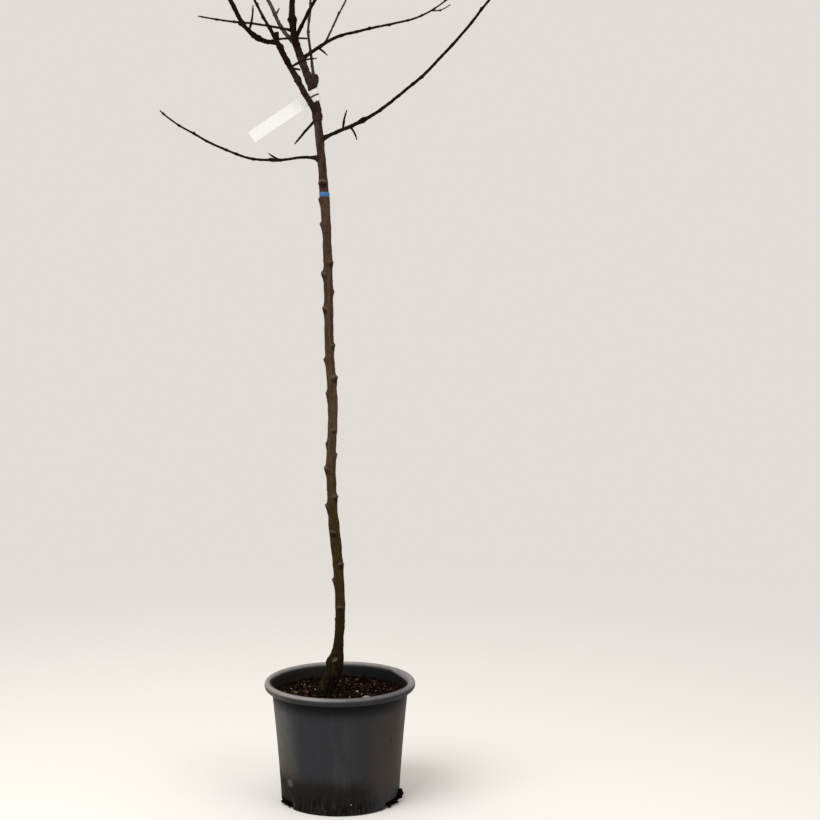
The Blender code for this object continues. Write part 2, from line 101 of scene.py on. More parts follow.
# Marks on the wall: the middle of each, how far it reaches along the axes, and its colour.
SMUDGES = (
    ((-0.1019, -0.0775, 0.0569), (0.0130, 0.0170, 0.0125), (0.075, 0.072, 0.070)),
    ((0.0265, -0.1231, 0.0249), (0.0018, 0.0030, 0.0018), (0.45, 0.46, 0.44)),
)


def pot_radius(height):
    """Outer radius of the wall: the foot's radius, plus a taper and a slight flare that grow with height."""
    return POT_FOOT_RADIUS + POT_TAPER * height + POT_FLARE * height**2


def ellipse(centre, half_width, half_height, first, last, count):
    """Points on an ellipse between two angles, as radius and height."""
    angle = np.radians(np.linspace(first, last, count))
    return np.column_stack((centre[0] + half_width * np.cos(angle), centre[1] + half_height * np.sin(angle)))


def pot_profile():
    """Radius and height along the section: inner floor, inner wall, over the rim, outer wall, underneath."""
    heights = np.linspace(POT_FLOOR + POT_CORNER, WALL_TOP, 40)
    inside = np.column_stack((pot_radius(heights) - POT_WALL, heights))
    outside = np.column_stack((pot_radius(heights), heights))[::-1]
    inner_corner = (pot_radius(POT_FLOOR) - POT_WALL - POT_CORNER, POT_FLOOR + POT_CORNER)
    outer_corner = (pot_radius(POT_CORNER) - POT_CORNER, POT_CORNER)
    lip = (RIM_HALF_WIDTH - POT_WALL, RIM_HALF_HEIGHT - POT_WALL)
    floor = np.linspace(0, 1, 12)[:, None] * (inner_corner[0], 0) + (0, POT_FLOOR)
    under = np.linspace(1, 0, 12)[:, None] * (outer_corner[0], 0)
    return np.vstack((
        floor[:-1],
        ellipse(inner_corner, POT_CORNER, POT_CORNER, -90, -5, 6),
        inside,
        ellipse(RIM_CENTRE, RIM_HALF_WIDTH, RIM_HALF_HEIGHT, 170, RIM_LIP_ANGLE, 28),
        ellipse(RIM_CENTRE, *lip, RIM_LIP_ANGLE, 150, 20),
        outside[2:],
        ellipse(outer_corner, POT_CORNER, POT_CORNER, 0, -90, 7),
        under[1:],
    ))


def circle(sides):
    """Angles in even steps once round."""
    return np.arange(sides) * 2 * np.pi / sides


def bell(offset, width, power=2):
    """A bell curve, exp(-(offset / width) ** power): 1 in the middle, and small past the width."""
    return np.exp(-((offset / width) ** power))


def turned(profile, sides):
    """A section of radius and height, turned about Z: x = r cos t, y = r sin t and z = h, as t goes round."""
    turn = circle(sides)
    radius, height = profile[:, :1], profile[:, 1:]
    return np.stack(np.broadcast_arrays(radius * np.cos(turn), radius * np.sin(turn), height), axis=-1)


def worn(points):
    """The pot with its rim dipped a millimetre to the front, and pushed in at the nick by a bell curve."""
    points = points.copy()
    points[..., 2] += RIM_TIP * points[..., 1] * (points[..., 2] / RIM_CENTRE[1]) ** 3
    bearing = math.radians(NICK_BEARING)
    place = np.array((math.cos(bearing), math.sin(bearing), 0)) * (RIM_CENTRE[0] - NICK_INSET)
    place[2] = RIM_CENTRE[1] + NICK_LIFT
    away = np.linalg.norm((points - place) / NICK_SIZE, axis=-1)[..., None]
    inward = np.array((-math.cos(bearing), -math.sin(bearing), NICK_SLOPE)) * NICK_REACH
    return points + bell(away, 1, 4) * inward


def surface(name, grids, closed=True, **fields):
    """One mesh from grids of points: rows by sides, or a stack of such grids.

    Corner (row, side) joins (row, side + 1), (row + 1, side + 1) and (row + 1, side), and the last side
    joins the first where the rings are closed. Rows shrunk to a point are merged into a pole.
    Fields are numbers for each point, kept as attributes.
    """
    points, faces, start = [], [], 0
    for grid in grids:
        stack = grid.reshape(-1, *grid.shape[-3:])
        corner = np.arange(stack[..., 0].size).reshape(stack.shape[:3]) + start
        start += corner.size
        beside = np.roll(corner, -1, axis=2)
        quads = np.stack((corner[:, :-1], beside[:, :-1], beside[:, 1:], corner[:, 1:]), axis=-1)
        faces.append((quads if closed else quads[:, :, :-1]).reshape(-1, 4))
        points.append(stack.reshape(-1, 3))
    points, faces = np.concatenate(points), np.concatenate(faces)
    mesh = bpy.data.meshes.new(name)
    mesh.vertices.add(len(points))
    mesh.vertices.foreach_set("co", points.ravel())
    mesh.loops.add(faces.size)
    mesh.loops.foreach_set("vertex_index", faces.ravel())
    mesh.polygons.add(len(faces))
    mesh.polygons.foreach_set("loop_start", np.arange(0, faces.size, 4))
    mesh.update(calc_edges=True)
    for field, values in fields.items():
        values = np.concatenate([part.ravel() for part in values])
        mesh.attributes.new(field, "FLOAT", "POINT").data.foreach_set("value", values)
    shape = bmesh.new()
    shape.from_mesh(mesh)
    bmesh.ops.remove_doubles(shape, verts=shape.verts, dist=1e-6)
    bmesh.ops.recalc_face_normals(shape, faces=shape.faces)
    shape.to_mesh(mesh)
    shape.free()
    mesh.shade_smooth()
    piece = bpy.data.objects.new(name, mesh)
    bpy.context.scene.collection.objects.link(piece)
    return piece


def settle(piece):
    """Keeps the shape that the modifiers give, and drops them."""
    graph = bpy.context.evaluated_depsgraph_get()
    shape = bpy.data.meshes.new_from_object(piece.evaluated_get(graph))
    piece.modifiers.clear()
    piece.data = shape


def cut_notches(pot):
    """Takes a block with rounded edges out of the pot's foot at each notch."""
    blocks = bpy.data.collections.new("notches")
    bpy.context.scene.collection.children.link(blocks)
    for number, bearing in enumerate(NOTCH_BEARINGS):
        shape = bmesh.new()
        bmesh.ops.create_cube(shape, size=1)
        bmesh.ops.scale(shape, vec=NOTCH_SIZE, verts=shape.verts)
        bmesh.ops.bevel(
            shape, geom=shape.edges[:], offset=NOTCH_ROUNDING, segments=3, profile=0.5, affect="EDGES",
        )
        mesh = bpy.data.meshes.new(f"notch_{number}")
        shape.to_mesh(mesh)
        shape.free()
        block = bpy.data.objects.new(mesh.name, mesh)
        turn = math.radians(bearing)
        block.location = (POT_FOOT_RADIUS * math.cos(turn), POT_FOOT_RADIUS * math.sin(turn), 0)
        block.rotation_euler.z = turn
        blocks.objects.link(block)
    cut = pot.modifiers.new("notches", "BOOLEAN")
    cut.operand_type = "COLLECTION"
    cut.collection = blocks
    cut.operation = "DIFFERENCE"
    settle(pot)
    for block in list(blocks.objects):
        bpy.data.objects.remove(block)
    bpy.data.collections.remove(blocks)
    pot.data.set_sharp_from_angle(angle=SHARP_EDGE)


class Shade:
    """A shader value. Arithmetic on it adds Math nodes to its finish."""

    def __init__(self, finish, socket):
        self.finish, self.socket = finish, socket

    def maths(self, operation, *values):
        return self.finish.node("ShaderNodeMath", {"operation": operation}, dict(enumerate(values)))

    def __add__(self, other):
        return self.maths("ADD", self, other)

    def __sub__(self, other):
        return self.maths("SUBTRACT", self, other)

    def __rsub__(self, other):
        return self.maths("SUBTRACT", other, self)

    def __mul__(self, other):
        return self.maths("MULTIPLY", self, other)

    def __truediv__(self, other):
        return self.maths("DIVIDE", self, other)

    def __pow__(self, other):
        return self.maths("POWER", self, other)

    def __abs__(self):
        return self.maths("ABSOLUTE", self)

    __radd__ = __add__
    __rmul__ = __mul__

    def between(self, low, high):
        """0 below low, 1 above high, with a soft step from one to the other. The two may be swapped."""
        inputs = {"Value": self, 1: low, 2: high, 3: 0.0, 4: 1.0}
        return self.finish.node("ShaderNodeMapRange", {"interpolation_type": "SMOOTHSTEP"}, inputs)


class Finish:
    """A material on the Principled shader."""

    def __init__(self, name):
        self.material = bpy.data.materials.new(name)
        self.material.use_nodes = True
        self.tree = self.material.node_tree
        self.shader = self.tree.nodes["Principled BSDF"]
        self.place = self.node("ShaderNodeTexCoord", output="Object")

    def node(self, kind, settings=None, inputs=None, output=0):
        """Adds a node: its settings first, then the value or link of each socket. Gives one output."""
        made = self.tree.nodes.new(kind)
        for name, value in (settings or {}).items():
            setattr(made, name, value)
        for name, value in (inputs or {}).items():
            self.feed(made.inputs[name], value)
        return Shade(self, made.outputs[output])

    def feed(self, socket, value):
        if isinstance(value, Shade):
            self.tree.links.new(value.socket, socket)
        else:
            socket.default_value = value

    def axes(self):
        """The three coordinates of a point on the piece."""
        split = self.tree.nodes.new("ShaderNodeSeparateXYZ")
        self.feed(split.inputs[0], self.place)
        return [Shade(self, socket) for socket in split.outputs]

    def scaled(self, scale):
        """What a pattern reads: the place and one scale, or the place stretched by a scale for each axis."""
        if not isinstance(scale, tuple):
            return {"Vector": self.place, "Scale": scale}
        inputs = {0: self.place, 1: scale}
        stretched = self.node("ShaderNodeVectorMath", {"operation": "MULTIPLY"}, inputs)
        return {"Vector": stretched, "Scale": 1.0}

    def noise(self, scale, detail=3.0, roughness=0.55):
        """Cloudy noise from 0 to 1, with about so many clouds for each metre."""
        inputs = {**self.scaled(scale), "Detail": detail, "Roughness": roughness}
        return self.node("ShaderNodeTexNoise", inputs=inputs)

    def cells(self, scale):
        """Distance to the nearest of many scattered points, in cells."""
        return self.node("ShaderNodeTexVoronoi", inputs=self.scaled(scale))

    def spot(self, place, size, turn=(0, 0, 0)):
        """Distance from a place: 0 there, and 1 on an ellipsoid of this size, turned by three angles."""
        inputs = {"Vector": self.place, "Location": place, "Rotation": turn, "Scale": size}
        away = self.node("ShaderNodeMapping", {"vector_type": "TEXTURE"}, inputs)
        return self.node("ShaderNodeVectorMath", {"operation": "LENGTH"}, {0: away}, output="Value")

    def field(self, name):
        """A number that the mesh keeps for each point."""
        return self.node("ShaderNodeAttribute", {"attribute_name": name}, output="Fac")

    def mix(self, share, first, second):
        """A colour between two others."""
        colours = [c if isinstance(c, Shade) else (*c, 1.0) for c in (first, second)]
        inputs = {0: share, 6: colours[0], 7: colours[1]}
        return self.node("ShaderNodeMix", {"data_type": "RGBA"}, inputs, output=2)

    def layered(self, colour, *coats):
        """A colour with coats laid over it in turn: how much of each shows, and its colour."""
        for share, tint in coats:
            colour = self.mix(share, colour, tint)
        return colour

    def finish(self, colour, roughness, height=None, depth=0.001, strength=1.0, specular=0.5):
        """Feeds the shader: colour and roughness, a bump from a height, and how strongly it mirrors."""
        self.feed(self.shader.inputs["Base Color"], colour)
        self.feed(self.shader.inputs["Roughness"], roughness)
        if height is not None:
            inputs = {"Height": height, "Distance": depth, "Strength": strength}
            self.feed(self.shader.inputs["Normal"], self.node("ShaderNodeBump", inputs=inputs))
        self.shader.inputs["Specular IOR Level"].default_value = specular
        return self.material


def pot_plastic():
    """Charcoal plastic: dust and painted light on top of the rim, a rusty stain on the right, and splashes
    round the foot. It also carries painted light and shade: a sheen on the left side, shade under the rim, a
    reflection low on the front left, and a lighter inner wall.
    """
    plastic = Finish("pot_plastic")
    x, y, z = plastic.axes()
    radius = (x * x + y * y) ** 0.5
    clouds = plastic.noise(9.0, 4.0)
    mottle = plastic.noise(60.0, 5.0, 0.6)
    runs = plastic.noise((95, 95, 9), 4.0, 0.6)
    streaks = plastic.noise((210, 210, 34), 5.0, 0.7)
    normal = plastic.node("ShaderNodeNewGeometry", output="Normal")
    up = plastic.node("ShaderNodeSeparateXYZ", inputs={0: normal}, output=2)

    def towards(bearing):
        """How far a point lies from the axis on the side of a bearing."""
        return x * math.cos(math.radians(bearing)) + y * math.sin(math.radians(bearing))

    def facing(bearing):
        """1 where the wall faces a bearing, down to -1 on the other side."""
        return towards(bearing) / radius

    stain = (facing(STAIN_BEARING) + (mottle - 0.5) * 0.14).between(0.74, 1.02) * (0.45 + clouds * 0.7)
    stain = stain * z.between(0.235, 0.19) * z.between(0.02, 0.06)
    # Painted sheen: the left side is made lighter, standing for a grazing reflection of the bright
    # surroundings.
    left_sheen = facing(SHEEN_SIDE_BEARING).between(0.72, 1.0) * z.between(0.03, 0.10) * (0.4 + mottle)
    # Painted shade on the wall under the rim's overhang.
    shadow = radius.between(0.1490, 0.1465) * z.between(0.199, 0.233)
    soiled = facing(STAIN_BEARING).between(0.97, 0.76)
    foot = z + (runs - 0.5) * 0.024 + (clouds - 0.5) * 0.024 + (mottle - 0.5) * 0.02
    foot = foot.between(0.090, 0.048) * (0.06 + soiled * 0.94)
    reflection = facing(REFLECTION_BEARING).between(0.90, 0.99) * z.between(0.150, 0.085)
    drips = (z + (clouds - 0.5) * 0.04 + (runs - 0.5) * 0.03).between(0.044, 0.020)
    drips = drips * streaks.between(0.48, 0.55) * (0.3 + soiled * 0.7)
    pale_runs = streaks.between(0.46, 0.38) * z.between(0.050, 0.020)
    specks = plastic.cells(230.0).between(0.22, 0.14) * plastic.noise(34.0).between(0.50, 0.62)
    specks = specks * (z + facing(SHEEN_SIDE_BEARING) * -0.03).between(0.09, 0.02)
    marks = plastic.noise((70, 70, 30), 3.0, 0.5).between(0.67, 0.75) * z.between(0.10, 0.16)
    scuffs = plastic.noise((26, 26, 7), 4.0, 0.7).between(0.45, 0.75)
    behind = y.between(-0.06, 0.06)
    right = facing(8).between(0.80, 1.00)
    # Dust on the rim together with painted light: the rim's top, and its back, are made lighter where light
    # from above falls on them.
    dust = (up + behind * 0.35).between(0.12, 0.62)
    dust = dust * (z + right * 0.005 - behind * 0.004).between(0.245, 0.2505)
    reach = radius + behind * 0.0076 + right * 0.006 - RIM_CENTRE[0]
    dust = dust * reach.between(-0.0016, 0.0034)
    dust = dust * (0.58 + mottle * 0.85) * (1 - facing(-58).between(0.62, 0.98) * 0.58)
    # Painted light: the inner wall gets a far lighter colour than the charcoal plastic, so that it stands for
    # light reaching inside.
    inside = (radius - pot_radius(z)).between(-0.0004, -0.0012)
    across, out = abs(towards(NICK_BEARING + 90)), towards(NICK_BEARING)
    nick = across.between(0.010, 0.006) * z.between(0.2490, 0.2530)
    nick = nick * out.between(0.1380, 0.1400) * out.between(0.1530, 0.1490)

    colour = plastic.layered(
        CHARCOAL,
        ((scuffs + mottle * 0.3) * 0.16, DUST_AND_SHEEN_GREY),
        (left_sheen * 0.95, DUST_AND_SHEEN_GREY),
        (stain * 0.8, RUSTY_STAIN),
        (marks * 0.6, GRIME_AND_SHADE),
        (inside * 0.9, plastic.mix(x.between(-0.03, 0.05), *INNER_WALL_PAINTED_LIGHT)),
        (shadow * 0.92, GRIME_AND_SHADE),
        (reflection * (0.2 + clouds), REFLECTED),
        (foot * 0.92, SPLASH),
        (pale_runs * 0.6, PALE_RUN),
        (drips * 0.9, GRIME_AND_SHADE),
        (specks, GRIME_AND_SHADE),
        (dust, RIM_DUST_AND_LIGHT),
        *(
            ((plastic.spot(place, size) + mottle * 0.7 - 0.35).between(1.0, 0.35) * 0.8, tint)
            for place, size, tint in SMUDGES
        ),
        (nick * 0.9, NICK_DUST),
    )
    roughness = 0.42 + mottle * 0.16 + (foot + dust) * 0.2
    relief = plastic.noise(900.0, 2.0) * 0.12 + mottle * 0.4 + drips * 0.5 + pale_runs * 0.4
    return plastic.finish(colour, roughness, relief, 0.0004, 0.5, specular=0.08)


pot = surface("nursery_pot", [worn(turned(pot_profile(), POT_SIDES))])
cut_notches(pot)
pot.data.materials.append(pot_plastic())
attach(pot, "root")
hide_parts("pot")


# The potting mix is composted bark and peat that fills the pot to a few centimetres below its rim. It is
# loose: chips, fibres and pale grit lie on top, and some of it is pressed out through the drain notches.
SOIL_TOP = 0.2260
SOIL_SINK = 0.0015
SOIL_RADIUS = 0.137
SOIL_FLAT_RADIUS = 0.065
SOIL_EDGE_RISE = 0.005
SOIL_EDGE_EVEN = 0.01
SOIL_MOUND_RISE = 0.0025
SOIL_MOUND_RADIUS = 0.035
SOIL_CLEAR = 0.0006
SOIL_SIDES = 240
STREWN_RADIUS = 0.1355
TRUNK_FOOT = (-0.021, 0.0)
SOIL_SEED = 7
# Darkening of the mix: painted shade at the front under the rim, and darker by the wall.
SHADE_AND_DARK_EDGE = (0.0034, 0.0017, 0.0010)
# Ripples of a surface: how high, how far apart, how much they are drawn out along Z, and their seed.
SOIL_LUMPS = ((0.0012, 0.030, 1, 3), (0.0008, 0.009, 1, 4))
SOIL_SIDE_PITS = ((0.004, 0.008, 1, 5),)
# Play in the bits' sizes, how far they are sunk in the mix, and how ragged their corners are.
BIT_PLAY = (0.7, 1.3)
BIT_LIFT = (0.1, 1.6)
BIT_CORNERS = (0.55, 1.0)
SINGLE_BIT_WIDTH = 0.8
SINGLE_BIT_LIFT = 0.0006
# Each kind of bit: how many, length, width and thickness in metres, tilt in degrees and its colour.
SOIL_BITS = {
    "dark_chips": (2100, (0.004, 0.010), 0.55, 0.30, 34, (0.0072, 0.0035, 0.0023)),
    "brown_chips": (600, (0.004, 0.010), 0.45, 0.26, 30, (0.044, 0.0215, 0.0140)),
    "fibres": (380, (0.006, 0.020), 0.070, 0.05, 24, (0.105, 0.060, 0.040)),
    "pale_chips": (45, (0.003, 0.009), 0.45, 0.30, 30, (0.17, 0.115, 0.080)),
    "grit": (7, (0.0030, 0.0052), 0.80, 0.60, 40, (0.46, 0.41, 0.34)),
}
# Bits that show singly: their place, their length and the way they point, in degrees.
SINGLE_BITS = {
    "grit": ((0.036, 0.012, 0.0062, 20), (-0.055, 0.037, 0.0050, 70)),
    "pale_chips": (
        (-0.095, 0.006, 0.0120, 160), (-0.003, 0.098, 0.0090, 80), (-0.008, 0.072, 0.0085, 30),
        (-0.079, 0.066, 0.0090, 60), (0.048, 0.033, 0.0070, 110),
    ),
    "fibres": ((-0.082, 0.012, 0.0340, 35), (-0.070, 0.020, 0.0260, 40), (0.058, 0.070, 0.0240, 60)),
}
# What fills each notch: how many bits, how far they spread aside, inwards and upwards, and their sizes.
NOTCH_FILL = 44
NOTCH_SPREAD = (-0.25, 0.25)
NOTCH_PROUD = 0.0010
NOTCH_DEPTH = (0.000, 0.010)
NOTCH_LIFT = (0.0045, 0.0145)
NOTCH_BIT = (0.0016, 0.0044)
# A lump that stands out past the wall: how many bits, how far they lie from its middle, and their sizes.
LUMP_BITS = 14
LUMP_SPREAD = 0.0022
LUMP_BIT = (0.0016, 0.0034)
# Such lumps: the bearing from +X, the height above the ground and the reach past the wall.
NOTCH_LUMPS = (
    (-9, 0.0225, 0.0030), (-11, 0.0185, 0.0050), (-8, 0.0150, 0.0045),
    (-15, 0.0140, 0.0045), (-22, 0.0100, 0.0030), (-160, 0.0085, 0.0010),
)


def ripple(points, pitch, seed, waves=22):
    """A bumpy field of about -1 to 1: the mean of sine waves of nearly one pitch, in seeded directions."""
    draw = np.random.default_rng(seed)
    ways = draw.normal(size=(waves, 3))
    ways *= (2 * np.pi / pitch * draw.uniform(0.6, 1.6, waves) / np.linalg.norm(ways, axis=1))[:, None]
    phases = draw.uniform(0, 2 * np.pi, waves)
    return sum(np.sin(points @ way + phase) for way, phase in zip(ways, phases)) / math.sqrt(waves)


def ripples(points, kinds):
    """The sum of several kinds of ripple: each field times its height."""
    return sum(high * ripple(points * (1, 1, drawn), pitch, seed) for high, pitch, drawn, seed in kinds)


def soil_level(x, y):
    """Height of the mix: it rises to the wall and in a low mound at the trunk, with lumps of two sizes."""
    radius = np.hypot(x, y)
    outward = np.clip((radius - SOIL_FLAT_RADIUS) / (SOIL_RADIUS - SOIL_FLAT_RADIUS), 0, 1)
    from_trunk = np.hypot(x - TRUNK_FOOT[0], y - TRUNK_FOOT[1])
    mound = SOIL_MOUND_RISE * bell(from_trunk, SOIL_MOUND_RADIUS)
    lumps = ripples(np.stack((x, y, np.zeros_like(x)), axis=-1), SOIL_LUMPS)
    lumps = lumps * np.clip((SOIL_RADIUS - radius) / SOIL_EDGE_EVEN, 0, 1)
    return SOIL_TOP - SOIL_SINK + SOIL_EDGE_RISE * outward**1.5 + mound + lumps


def soil_body():
    """A polar grid over the top, down beside the wall and back under to the axis."""
    edge = SOIL_TOP + SOIL_EDGE_RISE - SOIL_SINK
    radii = np.linspace(0, pot_radius(edge) - POT_WALL - SOIL_CLEAR, 90)
    top = turned(np.column_stack((radii, np.zeros_like(radii))), SOIL_SIDES)
    top[..., 2] = soil_level(top[..., 0], top[..., 1])
    heights = np.linspace(edge - 0.002, POT_FLOOR + POT_CORNER + SOIL_CLEAR, 60)
    side = turned(np.column_stack((pot_radius(heights) - POT_WALL - SOIL_CLEAR, heights)), SOIL_SIDES)
    side -= side * (1, 1, 0) * np.abs(ripples(side, SOIL_SIDE_PITS))[..., None]
    radii = np.linspace(side[-1, 0, 0] - POT_CORNER, 0, 12)
    under = turned(np.column_stack((radii, np.full_like(radii, POT_FLOOR + SOIL_CLEAR))), SOIL_SIDES)
    return np.concatenate((top, side, under))


def scattered(count, lengths, width, thickness, tilt, draw):
    """Rough blocks strewn on the mix. Each has eight jittered corners, a seeded turn and a seeded tilt."""
    radius = STREWN_RADIUS * np.sqrt(draw.uniform(0, 1, count))
    bearing = draw.uniform(0, 2 * np.pi, count)
    x, y = radius * np.cos(bearing), radius * np.sin(bearing)
    length = draw.uniform(*lengths, count)
    size = length[:, None] * np.array((1, width, thickness)) * draw.uniform(*BIT_PLAY, (count, 3)) / 2
    centre = np.column_stack((x, y, soil_level(x, y) + size[:, 2] * draw.uniform(*BIT_LIFT, count)))
    return centre, size, draw.uniform(0, 2 * np.pi, count), np.radians(draw.normal(0, tilt, count))


def singled(spots, width, thickness):
    """The same four tables for bits at given places, lying level on the mix."""
    x, y, length, turn = np.array(spots, dtype=float).reshape(-1, 4).T
    size = length[:, None] * np.array((1, width * SINGLE_BIT_WIDTH, thickness)) / 2
    centre = np.column_stack((x, y, soil_level(x, y) + size[:, 2] + SINGLE_BIT_LIFT))
    return centre, size, np.radians(turn), np.zeros(len(x))


def swung(first, second, angle):
    """Two coordinates turned by an angle: a cos t - b sin t, and a sin t + b cos t."""
    cos, sin = np.cos(angle)[:, None, None], np.sin(angle)[:, None, None]
    return first * cos - second * sin, first * sin + second * cos


def rough_blocks(centre, size, turn, tilt, draw):
    """Two rings of four jittered corners and a pole at each end, tilted about Y and then turned about Z."""
    ring = np.array(((1, 1), (-1, 1), (-1, -1), (1, -1)), float)
    rows = np.array((0, 1, 1, 0))[:, None] * np.ones(4)
    level = np.array((-1, -1, 1, 1))[:, None] * np.ones(4)
    block = np.stack((rows * ring[:, 0], rows * ring[:, 1], level), axis=-1)
    corners = np.broadcast_to(block, (len(centre), 4, 4, 3)).copy()
    corners[:, 1:3] *= draw.uniform(*BIT_CORNERS, (len(centre), 2, 4, 3))
    x, y, z = np.moveaxis(corners * size[:, None, None], -1, 0)
    x, z = swung(x, z, -tilt)
    x, y = swung(x, y, turn)
    return np.stack((x, y, z), axis=-1) + centre[:, None, None]


def loose_mix(name, colour):
    """Crumbly matter: one colour, darker and lighter in patches, dull, with painted shade at the front where
    the rim hangs over it, and darker near the wall.
    """
    mix = Finish(name)
    x, y, _ = mix.axes()
    patches = mix.noise(160.0, 4.0, 0.65)
    dark, pale = (tuple(level * part for part in colour) for level in (0.35, 1.9))
    # Painted shade at the front, under the pot's rim. The mix is also made darker near the wall.
    front = (y - x * 0.3 + (patches - 0.5) * 0.03).between(-0.008, -0.056)
    edge = ((x * x + y * y) ** 0.5 + (patches - 0.5) * 0.02).between(0.106, 0.126)
    front_shade_dark_edge = 1 - (1 - front) * (1 - edge * 0.8)
    colour = mix.layered(
        dark,
        (patches.between(0.3, 0.5), colour),
        (patches.between(0.55, 0.75), pale),
        (front_shade_dark_edge * 0.85, SHADE_AND_DARK_EDGE),
    )
    return mix.finish(colour, 0.92, mix.noise(700.0, 4.0, 0.7), 0.0008, 0.8, specular=0.03)


soil = surface("potting_mix", [soil_body()])
soil.data.materials.append(loose_mix("peat", (0.0058, 0.0028, 0.0018)))
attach(soil, "root")
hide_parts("soil")

soil_draw = np.random.default_rng(SOIL_SEED)
for kind, (count, lengths, width, thickness, tilt, colour) in SOIL_BITS.items():
    strewn = scattered(count, lengths, width, thickness, tilt, soil_draw)
    single = singled(SINGLE_BITS.get(kind, ()), width, thickness)
    tables = [np.concatenate(pair) for pair in zip(strewn, single)]
    bits = surface(f"soil_{kind}", [rough_blocks(*tables, soil_draw)])
    bits.data.shade_flat()
    bits.data.materials.append(loose_mix(f"{kind}_matter", colour))
    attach(bits, "root")

plug_centres, plug_sizes = [], []
for bearing in NOTCH_BEARINGS:
    turn = math.radians(bearing) + soil_draw.uniform(*NOTCH_SPREAD, NOTCH_FILL)
    radius = POT_FOOT_RADIUS + NOTCH_PROUD - soil_draw.uniform(*NOTCH_DEPTH, NOTCH_FILL)
    lift = soil_draw.uniform(*NOTCH_LIFT, NOTCH_FILL)
    plug_centres.append(np.column_stack((radius * np.cos(turn), radius * np.sin(turn), lift)))
    plug_sizes.append(soil_draw.uniform(*NOTCH_BIT, (NOTCH_FILL, 3)))
for bearing, lift, out in NOTCH_LUMPS:
    spread = soil_draw.normal(0, LUMP_SPREAD, (LUMP_BITS, 3))
    turn, reach = math.radians(bearing), POT_FOOT_RADIUS + out
    plug_centres.append(np.array((reach * math.cos(turn), reach * math.sin(turn), lift)) + spread)
    plug_sizes.append(soil_draw.uniform(*LUMP_BIT, (LUMP_BITS, 3)))
plug_centres, plug_sizes = np.concatenate(plug_centres), np.concatenate(plug_sizes)
plug_turn = soil_draw.uniform(0, 6.28, len(plug_centres))
plugs = rough_blocks(plug_centres, plug_sizes, plug_turn, plug_turn * 0.1, soil_draw)
plugs = surface("soil_at_the_notches", [plugs])
plugs.data.shade_flat()
plugs.data.materials.append(loose_mix("damp_peat", (0.0030, 0.0020, 0.0015)))
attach(plugs, "root")


# The trunk is one clean stem of a young grafted apple. It grows from a thick dark rootstock, bulges at the
# healed graft, and carries the scars of the side shoots that were taken off it to raise the crown.
STEM_STEP = 0.005
SEAT_GAP = 0.0003
TRUNK_LENGTH = 1.225
TRUNK_LEAN = (77, 84, 93, 96, 92, 86, 95, 90, 91, 93, 95, 96)
TRUNK_THICKNESS = (0.0205, 0.0170)
ROOT_FLARE = 0.0180
ROOT_FLARE_HEIGHT = 0.085
ROOT_LEAN = 0.0085
ROOT_LEAN_HEIGHT = 0.040
TRUNK_SIDES = 72
TRUNK_ROWS = 1000
TRUNK_CAP = 0.004
TRUNK_SWELLINGS = ((0.28, 0.0018), (0.32, 0.0034), (0.365, 0.0020), (0.62, 0.0018), (1.035, 0.0022))
SWELLING_LENGTH = 0.022
GRAFT_HEIGHT = 0.074
GRAFT_BEARING = 188
GRAFT_REACH = 0.0070
GRAFT_LENGTH = 0.012
BARK_RIPPLES = ((0.0004, 0.016, 0.5, 21), (0.00022, 0.0035, 0.3, 22))
ROOT_RIPPLES = ((0.0016, 0.016, 0.25, 23), (0.0007, 0.007, 1, 24))
ROOT_RIPPLES_FADE = 0.06
# Knots: height above the soil, the bearing they face from +X, and their size beside the usual one.
KNOTS = (
    (0.162, 180, 0.6), (0.188, 272, 1.2), (0.244, 186, 1.4), (0.280, 305, 1.3), (0.348, 255, 1.3),
    (0.402, 182, 1.6), (0.423, 318, 1.4), (0.482, 205, 1.6), (0.511, 350, 1.0), (0.534, 182, 1.0),
    (0.564, 290, 1.1), (0.639, 188, 1.4), (0.673, 318, 1.6), (0.710, 182, 1.2), (0.740, 325, 1.2),
    (0.816, 213, 1.5), (0.851, 0, 0.9), (0.888, 192, 1.7), (0.911, 305, 1.3), (0.989, 186, 1.2),
    (1.040, 184, 1.0), (1.0755, 262, 1.5),
    (0.222, 95, 0.9), (0.365, 100, 1.1), (0.452, 80, 1.0), (0.603, 110, 1.1), (0.771, 85, 1.0),
    (0.951, 95, 1.1), (1.003, 70, 0.8),
)
# A usual knot: how high its body, brow and hollow stand out or in, and half their widths and lengths.
KNOT_HEIGHT, KNOT_WIDTH, KNOT_ABOVE, KNOT_BELOW = 0.0032, 0.0058, 0.0042, 0.0078
BROW_HEIGHT, BROW_WIDTH, BROW_THICKNESS, BROW_LIFT, BROW_ARCH = 0.0009, 0.0064, 0.0024, 0.0030, 95
HOLLOW_DEPTH, HOLLOW_WIDTH, HOLLOW_LENGTH, HOLLOW_DROP = 0.0010, 0.0046, 0.0042, 0.0032
HOLLOW_DARKNESS = 1.1
KNOT_COLLAR_HEIGHT, KNOT_COLLAR_LENGTH = 0.0007, 0.015
# The bark's colour up the stem: where each begins and where it is full, in metres above the ground.
FOOT_BARK = (0.0030, 0.0015, 0.0006)
STEM_BARK = (
    (0.272, 0.335, (0.0170, 0.0115, 0.0018)),
    (0.36, 0.46, (0.0270, 0.0150, 0.0018)),
    (0.62, 0.76, (0.0580, 0.0335, 0.0140)),
    (0.90, 1.08, (0.0480, 0.0235, 0.0130)),
    (1.26, 1.42, (0.0250, 0.0140, 0.0095)),
)
MOSS = (0.034, 0.030, 0.006)
RED_BROWN = (0.022, 0.0095, 0.0065)
PALE_STREAK = (0.088, 0.058, 0.041)
DARK_STREAK = (0.016, 0.009, 0.005)
GREY_BLOOM = (0.066, 0.047, 0.037)
PALE_GRAIN = (0.100, 0.070, 0.045)
DARK_GRAIN = (0.007, 0.0045, 0.0030)
TRUNK_PORES = (0.110, 0.080, 0.050)
